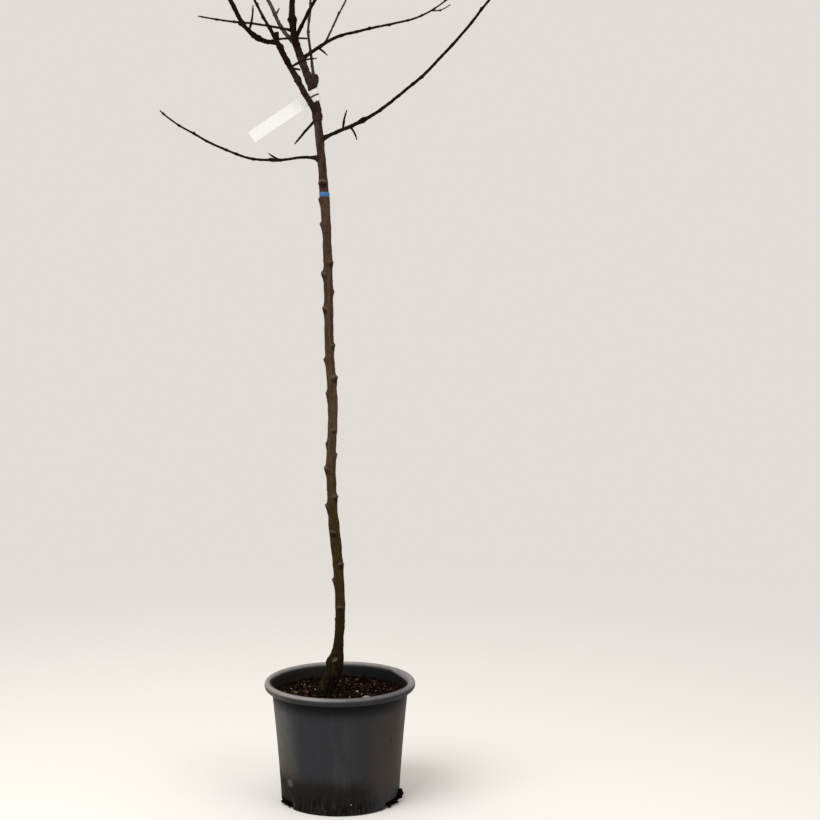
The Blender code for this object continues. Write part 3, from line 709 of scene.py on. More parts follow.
# Painted highlight on a knot's brow and painted shade in its hollow.
BROW_HIGHLIGHT = (0.112, 0.090, 0.064)
HOLLOW_SHADE = (0.0065, 0.0036, 0.0020)
# The pale cut at the graft: its middle, its half size, its slope in degrees and its colour.
CUT_PLACE = (-0.0095, -0.0165, 0.3035)
CUT_SIZE = (0.0085, 0.02, 0.0048)
CUT_SLOPE = -32
CUT_WOOD = (0.105, 0.100, 0.070)


def headings(lean, away, steps):
    """Unit directions of a limb's steps, from its angles at even distances."""
    share = (np.arange(steps) + 0.5) / steps
    front = np.radians(np.interp(share, np.linspace(0, 1, len(lean)), lean))
    back = np.radians(np.interp(share, np.linspace(0, 1, len(away)), away))
    return np.column_stack((np.cos(front) * np.cos(back), np.sin(back), np.sin(front) * np.cos(back)))


class Limb:
    """A woody stem: a centreline walked in short steps, and a thickness given at even distances."""

    def __init__(self, start, length, directions, thickness):
        step = length / len(directions)
        self.length = length
        self.points = np.vstack((start, start + np.cumsum(directions, axis=0) * step))
        self.thickness = np.asarray(thickness)

    def at(self, distances):
        """Points on the centreline, which runs on straight past either end."""
        distances = np.atleast_1d(distances)
        along = np.linspace(0, self.length, len(self.points))
        points = np.column_stack([np.interp(distances, along, axis) for axis in self.points.T])
        points += np.minimum(distances, 0)[:, None] * self.heading(0)
        points += np.maximum(distances - self.length, 0)[:, None] * self.heading(self.length)
        return points

    def heading(self, distance):
        """Unit direction of the centreline at a distance."""
        steps = len(self.points) - 1
        step = min(steps - 1, int(distance / self.length * steps))
        ahead = self.points[step + 1] - self.points[step]
        return ahead / np.linalg.norm(ahead)

    def radius(self, distances):
        """Radius at these distances."""
        share = np.atleast_1d(distances) / self.length
        return np.interp(share, np.linspace(0, 1, len(self.thickness)), self.thickness) / 2


def trunk_thickness(distance):
    """The trunk's even taper, its flared foot and its swellings."""
    share = distance / TRUNK_LENGTH
    taper = TRUNK_THICKNESS[0] + (TRUNK_THICKNESS[1] - TRUNK_THICKNESS[0]) * share
    flare = ROOT_FLARE * bell(distance, ROOT_FLARE_HEIGHT, 4)
    swollen = sum(extra * bell(distance - place, SWELLING_LENGTH) for place, extra in TRUNK_SWELLINGS)
    return taper + flare + swollen


def trunk_skin(trunk):
    """Level rings up the trunk, and how much painted highlight (on a knot's brow) or painted shade (in its
    hollow) each point gets.

    The radius is the trunk's own, plus the knots, the graft's shoulder and the bark's ripples. A knot is
    a bump with a brow arched over it and a hollow below: bell curves of the distance up the stem and of
    the distance round it.
    """
    rise = np.linspace(0, TRUNK_LENGTH + TRUNK_CAP, TRUNK_ROWS)
    turn = circle(TRUNK_SIDES)
    centre = trunk.at(rise) - bell(rise, ROOT_LEAN_HEIGHT, 4)[:, None] * (ROOT_LEAN, 0, 0)
    plain = trunk_thickness(rise) / 2
    dome = np.clip((TRUNK_LENGTH + TRUNK_CAP - rise) / (3 * TRUNK_CAP), 0, 1)
    radius = (plain * np.sqrt(dome * (2 - dome)))[:, None] * np.ones(TRUNK_SIDES)
    scar = np.zeros_like(radius)
    for height, bearing, size in KNOTS:
        up = (rise - height)[:, None]
        round_stem = (turn - math.radians(bearing) + np.pi) % (2 * np.pi) - np.pi
        across = round_stem * plain[np.searchsorted(rise, height)]
        body = bell(np.maximum(up, 0), KNOT_ABOVE * size) * bell(np.minimum(up, 0), KNOT_BELOW * size)
        body = body * bell(across, KNOT_WIDTH * size)
        brow = bell(up - BROW_LIFT * size + BROW_ARCH * across**2 / size, BROW_THICKNESS)
        brow = brow * bell(across, BROW_WIDTH * size, 4)
        hollow = bell(across, HOLLOW_WIDTH * size) * bell(up + HOLLOW_DROP * size, HOLLOW_LENGTH * size)
        collar = KNOT_COLLAR_HEIGHT * size * bell(up, KNOT_COLLAR_LENGTH)
        radius += collar * (0.6 + 0.4 * np.cos(round_stem))
        radius += size * (KNOT_HEIGHT * body + BROW_HEIGHT * brow - HOLLOW_DEPTH * hollow)
        # Painted highlight on the brow and painted shade in the hollow, as light from above falls on a knot.
        scar += size * (brow - HOLLOW_DARKNESS * hollow)
    shoulder = np.clip(np.cos(turn - math.radians(GRAFT_BEARING)), 0, 1) ** 1.5
    radius += GRAFT_REACH * bell(rise - GRAFT_HEIGHT, GRAFT_LENGTH)[:, None] * shoulder
    ring = np.stack((np.cos(turn), np.sin(turn), np.zeros(TRUNK_SIDES)), axis=-1)
    points = centre[:, None] + radius[..., None] * ring
    root = np.exp(-rise / ROOT_RIPPLES_FADE)[:, None]
    rough = ripples(points, BARK_RIPPLES) + root * ripples(points, ROOT_RIPPLES)
    points += ring * (rough * np.minimum(dome * 3, 1)[:, None])[..., None]
    ends = np.broadcast_to(centre[[0, -1], None], (2, TRUNK_SIDES, 3))
    scar = np.concatenate((scar[:1], scar, scar[-1:]))
    return np.concatenate((ends[:1], points, ends[1:])), scar


def trunk_bark():
    """Young bark: olive and mossy low down, reddish brown above, with flat pale pores, and painted highlights
    on the knots' brows with painted shade in their hollows.
    """
    bark = Finish("trunk_bark")
    z = bark.axes()[2]
    scar = bark.field("scar")
    clouds = bark.noise(28.0, 4.0)
    grain = bark.noise((420, 420, 130), 5.0, 0.65)
    pores = bark.cells((170, 170, 420)).between(0.26, 0.12)
    height = z + clouds * 0.24 - 0.12
    patches = bark.noise((80, 80, 26), 4.0, 0.6)
    streaks = bark.noise((190, 190, 11), 3.0, 0.6)
    bloom = bark.noise((60, 60, 19), 3.0, 0.5)
    cut = bark.spot(CUT_PLACE, CUT_SIZE, (0, math.radians(CUT_SLOPE), 0))
    colour = bark.layered(
        FOOT_BARK,
        *((height.between(low, high), tint) for low, high, tint in STEM_BARK),
        (patches.between(0.50, 0.66) * height.between(1.15, 0.60) * 0.6, MOSS),
        (patches.between(0.46, 0.34) * 0.5, RED_BROWN),
        (streaks.between(0.48, 0.62) * height.between(0.60, 0.76) * 0.40, PALE_STREAK),
        (streaks.between(0.50, 0.36) * 0.45, DARK_STREAK),
        (bloom.between(0.52, 0.66) * height.between(0.62, 0.78) * 0.35, GREY_BLOOM),
        (grain.between(0.42, 0.70) * height.between(0.34, 0.50) * 0.25, PALE_GRAIN),
        (grain.between(0.52, 0.32) * 0.5, DARK_GRAIN),
        (pores * z.between(0.36, 0.50) * 0.4, TRUNK_PORES),
        # Painted highlight on the knots' brows and painted shade in their hollows.
        (scar.between(0.30, 1.4) * 0.62, BROW_HIGHLIGHT),
        (scar.between(-0.15, -1.2) * 0.75, HOLLOW_SHADE),
        ((cut + grain * 0.7 - 0.35).between(1.05, 0.35) * 0.7, CUT_WOOD),
    )
    relief = grain * 0.6 + pores * 0.5 + bark.noise(160.0, 3.0) * 0.6
    return bark.finish(colour, 0.62 + grain * 0.25, relief, 0.0006, 0.8, specular=0.05)


trunk_steps = round(TRUNK_LENGTH / STEM_STEP)
trunk_start = np.array((*TRUNK_FOOT, SOIL_TOP + SEAT_GAP))
trunk = Limb(
    trunk_start, TRUNK_LENGTH, headings(TRUNK_LEAN, (0,), trunk_steps),
    trunk_thickness(np.linspace(0, TRUNK_LENGTH, trunk_steps)),
)
trunk_grid, trunk_scar = trunk_skin(trunk)
trunk_piece = surface("trunk_with_bark", [trunk_grid], scar=[trunk_scar])
trunk_piece.data.materials.append(trunk_bark())
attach(trunk_piece, "root")
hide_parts("trunk")


# The crown's limbs leave the trunk and the leader, each swollen at its root. They and their twigs are wood
# of the last few summers: smooth, purplish-brown bark with a grey bloom, and buds set in a spiral.
STEM_SIDES = 24
SHOOT_SIDES = 18
TWIG_SIDES = 12
# Limbs: parent, distance along it, own length, where the bough ends and its twigs begin, where side twigs
# begin, how long the longest is, lean and away from start to tip, and thickness from start to tip.
LIMBS = {
    "leader": (
        "trunk", 1.225, 0.680, 0.235, 0.26, 0.17,
        (96, 109, 111, 103, 87, 89, 89, 80, 90, 95, 81, 86, 91, 93), (0, 1),
        (0.0130, 0.0152, 0.0140, 0.0106, 0.0094, 0.0084, 0.0072, 0.0060, 0.0046, 0.0030),
    ),
    "low_left": (
        "trunk", 1.1245, 0.349, 0.190, None, 0.0,
        (168, 190, 178, 160, 153, 150, 138), (-10,),
        (0.0098, 0.0056, 0.0052, 0.0048, 0.0042, 0.0032),
    ),
    "low_right": (
        "trunk", 1.1635, 0.608, 0.280, 0.47, 0.08,
        (23, 21, 35, 38, 45, 48, 52, 58, 62), (-20,),
        (0.0104, 0.0072, 0.0062, 0.0058, 0.0054, 0.0046, 0.0032),
    ),
    "main_left": (
        "trunk", 1.217, 0.514, 0.270, 0.31, 0.11,
        (120, 120, 117, 119, 119, 110, 114, 108, 107), (-42, -22, 6, 13, 15, 19),
        (0.0128, 0.0118, 0.0116, 0.0058, 0.0048, 0.0042, 0.0036, 0.0028),
    ),
    "outer_left": (
        "main_left", 0.175, 0.495, 0.130, 0.17, 0.15,
        (194, 142, 116, 119, 119, 111, 110, 105, 104, 100, 101), (-22, -19, -9),
        (0.0096, 0.0088, 0.0084, 0.0076, 0.0066, 0.0054, 0.0042, 0.0028),
    ),
    "rear_left": (
        "leader", 0.134, 0.425, 0.130, 0.20, 0.12,
        (138, 115, 121, 113, 108), (46, 24),
        (0.0082, 0.0080, 0.0072, 0.0058, 0.0044, 0.0028),
    ),
    "right_fork": (
        "leader", 0.150, 0.411, 0.090, 0.12, 0.13,
        (59, 61, 75, 79, 84), (-24, -9),
        (0.0084, 0.0070, 0.0058, 0.0050, 0.0040, 0.0028),
    ),
    "upper_right": (
        "leader", 0.107, 0.399, 0.210, 0.34, 0.05,
        (36, 37, 15, 17, 14, 34, 38), (30,),
        (0.0074, 0.0070, 0.0060, 0.0052, 0.0046, 0.0038, 0.0028),
    ),
    "rear_right": (
        "upper_right", 0.067, 0.363, 0.120, 0.17, 0.09,
        (69, 66, 67), (42, 19),
        (0.0046, 0.0040, 0.0036, 0.0032, 0.0026),
    ),
    "thin_left": (
        "leader", 0.166, 0.204, 0.0, None, 0.0,
        (166, 171, 173, 167), (13,),
        (0.0052, 0.0047, 0.0042, 0.0032),
    ),
    "cut_stub": (
        "leader", 0.046, 0.028, 0.028, None, 0.0,
        (70, 95), (4,),
        (0.0110, 0.0194, 0.0198, 0.0192, 0.0178, 0.0156),
    ),
    "slender": (
        "cut_stub", 0.020, 0.337, 0.0, 0.20, 0.07,
        (96, 100, 96, 84, 92, 90, 85, 79), (28, 22),
        (0.0060, 0.0054, 0.0050, 0.0044, 0.0032),
    ),
    "low_shoot": (
        "trunk", 1.2085, 0.069, 0.0, None, 0.0,
        (230, 229), (-12,),
        (0.0058, 0.0052, 0.0040),
    ),
}
# Short spurs that show singly: the limb that bears them, distance along it, length, lean and away.
SPURS = (
    ("low_right", 0.056, 0.037, (90, 69), 9),
    ("low_right", 0.072, 0.027, (-43, -77), 12),
    ("low_left", 0.087, 0.022, (157, 144), 0),
    ("main_left", 0.117, 0.054, (40, -1), -10),
    ("main_left", 0.180, 0.067, (6, -6), -14),
    ("outer_left", 0.065, 0.048, (71, 89), 5),
    ("upper_right", 0.048, 0.020, (-35, -43), -4),
    ("rear_left", 0.119, 0.017, (71, 62), 30),
)
SPUR_THICKNESS = (0.0048, 0.0036)
# Swollen places: the limb, distance along it, how much thicker and over what length.
LIMB_SWELLINGS = (
    ("leader", 0.062, 0.0018, 0.010),
    ("leader", 0.100, 0.0016, 0.010),
    ("leader", 0.188, 0.0054, 0.0075),
    ("low_right", 0.103, 0.0036, 0.009),
    ("low_left", 0.098, 0.0022, 0.010),
    ("main_left", 0.090, 0.0022, 0.007),
    ("main_left", 0.164, 0.0026, 0.008),
    ("outer_left", 0.046, 0.0030, 0.012),
    ("outer_left", 0.084, 0.0030, 0.006),
    ("thin_left", 0.128, 0.0014, 0.004),
)
# Where the buds stand on the limbs' lower stretches. Past the last, they follow at an even spacing.
NODES = {
    "leader": (0.137, 0.188),
    "low_right": (0.065, 0.076, 0.103, 0.148, 0.195, 0.234, 0.257, 0.317, 0.347, 0.408),
    "low_left": (0.087, 0.103, 0.140, 0.176, 0.199, 0.241, 0.270),
    "main_left": (0.061, 0.090, 0.130, 0.164, 0.205, 0.230),
    "outer_left": (0.040, 0.084, 0.121),
    "thin_left": (0.051, 0.092, 0.128),
    "upper_right": (0.055, 0.110, 0.148, 0.179, 0.228, 0.277),
    "rear_right": (0.057, 0.091),
    "rear_left": (0.040, 0.077, 0.120),
    "right_fork": (0.030, 0.064),
    "slender": (0.028, 0.063, 0.110),
}
# Pegs left by the pruning knife: bearer, distance, length, lean, away and thickness from root to cut.
PEGS = (
    ("main_left", 0.176, 0.019, 90, -6, (0.0100, 0.0088, 0.0086, 0.0076)),
    ("outer_left", 0.086, 0.0085, 205, -12, (0.0090, 0.0080, 0.0064)),
    ("low_right", 0.105, 0.0060, 120, -10, (0.0064, 0.0058, 0.0046)),
    ("main_left", 0.090, 0.0065, 205, -14, (0.0070, 0.0062, 0.0048)),
    ("main_left", 0.117, 0.0205, -12, 6, (0.0052, 0.0044, 0.0034)),
)
KNUCKLE_THICKNESS = (0.0130, 0.0198, 0.0204, 0.0200, 0.0190, 0.0166)
# Bark of the limbs: its own colour and its bloom's.
DARK_BARK = ((0.0075, 0.0034, 0.0016), (0.021, 0.0125, 0.0085))
GREY_BARK = ((0.034, 0.0260, 0.0225), (0.095, 0.082, 0.075))
GREY_LIMBS = ("rear_left", "rear_right", "slender")
OLD_BARK = (0.048, 0.032, 0.027)
BARK_AT_TRUNK = (0.030, 0.0175, 0.0120)
LIMB_PORES = (0.090, 0.070, 0.055)
# How far a limb's root flares over its parent's bark, where it isn't the usual flare.
USUAL_FLARE = 0.0012
FLARES = {"low_left": 0.0050, "low_right": 0.0030, "leader": 0.0020, "main_left": 0.0008, "low_shoot": 0.0010}

TWIG_SPACING = 0.042
TWIG_SPIRAL = 137.5
TWIG_ANGLE = 48
TWIG_UPLIFT = 0.75
TWIG_THICKNESS = (0.0032, 0.0020)
TWIG_SHORTENING = 0.72
TWIG_CLEARANCE = 0.012
TWIG_SEED = 12
# Play in the rule: shares of a length or a spacing, and degrees either way.
TWIG_LENGTH_PLAY = (0.75, 1.1)
TWIG_SPACING_PLAY = (0.8, 1.2)
TWIG_TURN_PLAY = (-15, 15)
TWIG_ANGLE_PLAY = (-8, 8)
FINE_START_PLAY = (0.3, 1.0)
FINE_SPACING_PLAY = (0.7, 1.4)
FINE_TURN_PLAY = (-20, 20)
FINE_ANGLE_PLAY = (-4, 14)
FINE_SPACING = 0.030
FINE_LENGTH = (0.007, 0.026)
FINE_THICKNESS = (0.0024, 0.0019)
FINE_SHARE = 0.62
FINE_REACH = 0.8
FINE_TIP_CLEAR = 0.012
BUD_SPACING = 0.034
BUD_SPACING_PLAY = (-0.006, 0.006)
FIRST_BUD = 0.006
FIRST_BUD_PLAY = (0.3, 0.9)
LAST_BUD_CLEAR = 0.008
SPIRAL_START = 47.0
NODE_SWELLING = (0.0011, 0.0036)
NODE_KINK = 0.0007
NODE_CLEAR = 0.004
BUD_RINGS = (0.0, 0.10, 0.28, 0.50, 0.74, 0.90, 1.0)
BUD_SIDES = 7
BUD_LENGTH = (0.0046, 0.0062)
BUD_WIDTH = (0.0026, 0.0033)
TIP_BUD_LENGTH = 0.0060
TIP_BUD_WIDTH = 0.0032
# A bud is pressed to its stem: how far it points ahead and out, how far out it sits, and how low.
BUD_AHEAD = 0.92
BUD_OUT = 0.39
BUD_SEAT = 0.72
BUD_DROP = 0.0012
COLLAR_LENGTH = 0.006
COLLAR_TAPER = 0.08
# How far the leader reaches down into the trunk.
LEADER_ROOT = -0.022
# Wrinkles of the bark: how far apart, and their seed. How deep they are is a share of the radius.
WRINKLES = ((0.0045, 31), (0.014, 32))
BOUGH_WRINKLE, SHOOT_WRINKLE, TWIG_WRINKLE = 0.07, 0.06, 0.05
# The space between rings on boughs, on shoots, on pegs and on the cut knuckle.
BOUGH_GAP, SHOOT_GAP, PEG_GAP, KNUCKLE_GAP = 0.0015, 0.0018, 0.0008, 0.0007
PEG_SIDES = 18
KNUCKLE_SIDES = 32
KNUCKLE_WRINKLE = 0.08
# A cut end is rounded over this share of its radius.
CUT_ROUNDING = 0.35


def walked(start, length, lean, away, thickness):
    """A limb that follows its lean and away angles."""
    steps = max(2, round(length / STEM_STEP))
    return Limb(np.array(start), length, headings(lean, away, steps), thickness)


PLAN = {"trunk": trunk}
for limb_name, (parent, place, length, *_, lean, away, thick) in LIMBS.items():
    PLAN[limb_name] = walked(PLAN[parent].at(place)[0], length, lean, away, thick)


def spurs_of(name, stretch):
    """The short spurs that one stretch of a limb bears."""
    limb = PLAN[name]
    return [
        walked(limb.at(place)[0], length, lean, (away,), SPUR_THICKNESS)
        for bearer, place, length, lean, away in SPURS
        if bearer == name and stretch[0] <= place < stretch[1]
    ]


def unit(vectors):
    """The same directions with a length of 1."""
    return vectors / np.linalg.norm(vectors, axis=-1, keepdims=True)


def square_to(ahead, steady=(0.0, 1.0, 0.0)):
    """Two unit vectors square to a direction and to each other, the first also square to a steady one."""
    side = unit(np.cross(ahead, steady))
    return side, np.cross(ahead, side)


def nearest_gap(points, limb):
    """How far each point is from a limb's centreline."""
    return np.linalg.norm(points[:, None] - limb.points[None], axis=2).min(axis=1)


def keeps_clear(twig, own):
    """True for a twig that stays nearer to its own stem than to any other limb, and clear of them all."""
    outer = twig.points[len(twig.points) // 3 :]
    own_gap = nearest_gap(outer, PLAN[own])
    for name, limb in PLAN.items():
        if name == own:
            continue
        gap = nearest_gap(outer, limb)
        if (gap < own_gap).any() or (gap < TWIG_CLEARANCE).any():
            return False
    return True


def leaving(stem, distance, turn, angle, length, thickness):
    """A twig that leaves a stem at an angle, on the side that turn gives, and bends upwards."""
    ahead = stem.heading(distance)
    side, other = square_to(ahead)
    out = side * math.cos(math.radians(turn)) + other * math.sin(math.radians(turn))
    root = ahead * math.cos(math.radians(angle)) + out * math.sin(math.radians(angle))
    steps = max(3, round(length / STEM_STEP))
    lift = np.linspace(0, TWIG_UPLIFT, steps)[:, None] * np.array((0.0, 0.0, 1.0))
    return Limb(stem.at(distance)[0], length, unit(root + lift), thickness)


def side_twigs(name):
    """Twigs that leave a stem in a spiral, bend upwards, and are shorter towards its tip."""
    first, reach = LIMBS[name][4:6]
    if first is None:
        return []
    stem = PLAN[name]
    draw = random.Random(f"{name} {TWIG_SEED}")
    turn = draw.uniform(0, 360)
    distance = first
    twigs = []
    while distance < stem.length - TWIG_SPACING:
        share = (distance - first) / (stem.length - first)
        length = reach * (1 - TWIG_SHORTENING * share) * draw.uniform(*TWIG_LENGTH_PLAY)
        turn += TWIG_SPIRAL + draw.uniform(*TWIG_TURN_PLAY)
        angle = TWIG_ANGLE + draw.uniform(*TWIG_ANGLE_PLAY)
        twig = leaving(stem, distance, turn, angle, length, TWIG_THICKNESS)
        if keeps_clear(twig, name):
            twigs.append(twig)
        distance += TWIG_SPACING * draw.uniform(*TWIG_SPACING_PLAY)
    return twigs


def fine_twigs(stem, first, seed):
    """Finer spurs on a twig by the same rule: a spiral of short shoots that keep within its reach."""
    draw = random.Random(seed)
    turn = draw.uniform(0, 360)
    distance = first + FINE_SPACING * draw.uniform(*FINE_START_PLAY)
    fine = []
    while distance < stem.length - FINE_TIP_CLEAR:
        turn += TWIG_SPIRAL + draw.uniform(*FINE_TURN_PLAY)
        length = min(draw.uniform(*FINE_LENGTH), FINE_REACH * (stem.length - distance))
        if draw.random() < FINE_SHARE:
            angle = TWIG_ANGLE + draw.uniform(*FINE_ANGLE_PLAY)
            fine.append(leaving(stem, distance, turn, angle, length, FINE_THICKNESS))
        distance += FINE_SPACING * draw.uniform(*FINE_SPACING_PLAY)
    return fine


def sides_along(centre):
    """Two unit vectors square to a row of points and to each other, which don't spin along the row."""
    ahead = unit(np.gradient(centre, axis=0))
    return square_to(ahead, np.eye(3)[np.abs(ahead).max(axis=0).argmin()])


def nodes_of(limb, known, first, seed):
    """Distances of a stem's nodes: the known ones, then an even spacing with some play, up to the tip."""
    draw = np.random.default_rng(seed)
    start = known[-1] + BUD_SPACING if known else first + BUD_SPACING * draw.uniform(*FIRST_BUD_PLAY)
    later = np.arange(start, limb.length - LAST_BUD_CLEAR, BUD_SPACING)
    return np.concatenate((known, later + draw.uniform(*BUD_SPACING_PLAY, len(later))))


def spiral(count, seed):
    """Angles round a stem from one node to the next, from a start of its own."""
    return np.radians(np.arange(count) * TWIG_SPIRAL + seed * SPIRAL_START)


def kinked(limb, nodes, seed):
    """The same stem with a slight bend at each node: the centreline is pushed aside there, in a spiral."""
    turn = spiral(len(nodes), seed)
    along = np.linspace(0, limb.length, len(limb.points))
    bent = Limb(limb.points[0], limb.length, np.diff(limb.points, axis=0), limb.thickness)
    bent.points = limb.points.copy()
    for way, push in zip(sides_along(limb.points), (np.cos(turn), np.sin(turn))):
        pushed = np.interp(along, (0, *nodes, limb.length), (0, *push * NODE_KINK, 0))
        bent.points += way * pushed[:, None]
    return bent


def rings_of(side, other, sides):
    """A circle for each pair of square vectors: side cos t + other sin t, as t goes round."""
    turn = circle(sides)[:, None]
    return side[:, None] * np.cos(turn) + other[:, None] * np.sin(turn)


def limb_skin(limb, stretch, gap, sides, swellings=(), collar=None, rough=TWIG_WRINKLE, blunt=1.0):
    """Rings square to a limb: centre + r (side cos t + other sin t), closed by a point at either end.

    The radius is the limb's own, plus a bell curve for each swelling and a ripple of the bark. Past the
    collar at its root (the parent's radius, the flare and its reach) the flare dies away exponentially.
    The tip is rounded over its last radius, or over a share of it where it was cut.
    """
    first, last = stretch
    rows = max(8, round((last - first) / gap) + 1)
    along = np.linspace(first, last, rows)
    centre = limb.at(along)
    radius = limb.radius(np.clip(along, 0, limb.length))
    if collar:
        wall, flare, reach = collar
        knee = limb.length / (len(limb.thickness) - 1)
        slim = limb.radius(knee) * (1 + COLLAR_TAPER * (knee - along) / knee)
        radius = np.where(along < knee, slim, radius) + flare * np.exp(-np.maximum(along - wall, 0) / reach)
    for place, extra, spread in swellings:
        radius = radius + extra / 2 * bell(along - place, spread)
    tip = np.clip((last - along) / (radius[-1] * blunt), 0, 1)
    radius = radius * np.sqrt(tip * (2 - tip))
    ring = rings_of(*sides_along(centre), sides)
    points = centre[:, None] + radius[:, None, None] * ring
    wrinkle = sum((rough * ripple(points, pitch, seed) for pitch, seed in WRINKLES), 1)
    points = centre[:, None] + (radius[:, None] * wrinkle)[..., None] * ring
    ends = np.broadcast_to(centre[[0, -1], None], (2, sides, 3))
    return np.concatenate((ends[:1], points, ends[1:]))


def bud_skins(roots, ways, lengths, widths):
    """Pointed buds: rings round a short axis. The radius is a sine of the way up, drawn to a point."""
    share = np.array(BUD_RINGS)
    swell = np.sin(np.pi * share**0.8) ** 0.8
    swell[0] = swell[-1] = 0.0
    ring = rings_of(*square_to(ways, np.eye(3)[np.abs(ways).argmin(axis=1)]), BUD_SIDES)
    axis = roots[:, None] + ways[:, None] * (lengths[:, None] * share)[..., None]
    return axis[:, :, None] + ring[:, None] * (widths[:, None] / 2 * swell)[:, :, None, None]


def buds_at(limb, nodes, seed, tip=False):
    """A bud at each node, in the spiral of the kinks and pressed to the stem, and one more at a tip."""
    draw = np.random.default_rng(seed)
    places = np.append(nodes, limb.length - BUD_DROP) if tip else np.asarray(nodes)
    last = (np.arange(len(places)) == len(nodes))[:, None]
    ahead = np.array([limb.heading(place) for place in places]).reshape(-1, 3)
    side, other = square_to(ahead, np.eye(3)[np.abs(limb.heading(0)).argmin()])
    turn = spiral(len(places), seed)[:, None]
    out = side * np.cos(turn) + other * np.sin(turn)
    ways = unit(np.where(last, ahead, ahead * BUD_AHEAD + out * BUD_OUT))
    seat = out * (limb.radius(places)[:, None] * BUD_SEAT) - ahead * BUD_DROP
    roots = limb.at(places) + np.where(last, 0, seat)
    lengths = np.where(last[:, 0], TIP_BUD_LENGTH, draw.uniform(*BUD_LENGTH, len(places)))
    widths = np.where(last[:, 0], TIP_BUD_WIDTH, draw.uniform(*BUD_WIDTH, len(places)))
    return bud_skins(roots, ways, lengths, widths)


def swellings_at(nodes):
    """The slight thickening of a stem at each of its nodes."""
    return [(node, *NODE_SWELLING) for node in nodes]


def shoot_skins(stem, seed):
    """A whole twig: its own nodes and kinks, its skin, and its buds with one at the tip."""
    nodes = nodes_of(stem, (), FIRST_BUD, seed)
    bent = kinked(stem, nodes, seed)
    skin = limb_skin(bent, (0, stem.length), SHOOT_GAP, TWIG_SIDES, swellings_at(nodes))
    return [skin, buds_at(bent, nodes, seed, tip=True)]


def limb_bark(name, colour, bloom, old_below=0.0, greyness=0.7):
    """Smooth young bark: dark with a grey bloom, fine wrinkles and pale pores, and browner at the trunk.

    It turns greyer below a height, as the oldest wood does.
    """
    bark = Finish(name)
    x, y, z = bark.axes()
    (low_x, _, low_z), (top_x, _, top_z) = trunk.at((1.0, TRUNK_LENGTH))
    aside = x - low_x - (z - low_z) * (top_x - low_x) / (top_z - low_z)
    rooted = ((aside * aside + y * y) ** 0.5).between(0.017, 0.008) * z.between(1.49, 1.45)
    patches = bark.noise(55.0, 4.0, 0.6)
    grain = bark.noise(520.0, 4.0, 0.6)
    pores = bark.cells(330.0).between(0.20, 0.10)
    old = z.between(old_below + 0.05, old_below)
    shade = bark.layered(
        colour,
        (patches.between(0.42, 0.68) * 0.45, bloom),
        (old * (patches + 0.1).between(0.35, 0.60) * greyness, OLD_BARK),
        (rooted * (patches + 0.2).between(0.35, 0.60) * 0.85, BARK_AT_TRUNK),
        (pores * 0.4, LIMB_PORES),
        (grain.between(0.5, 0.3) * 0.5, tuple(0.35 * part for part in colour)),
    )
    return bark.finish(shade, 0.55 + patches * 0.25, grain + pores * 0.6, 0.0004, 0.7, specular=0.02)


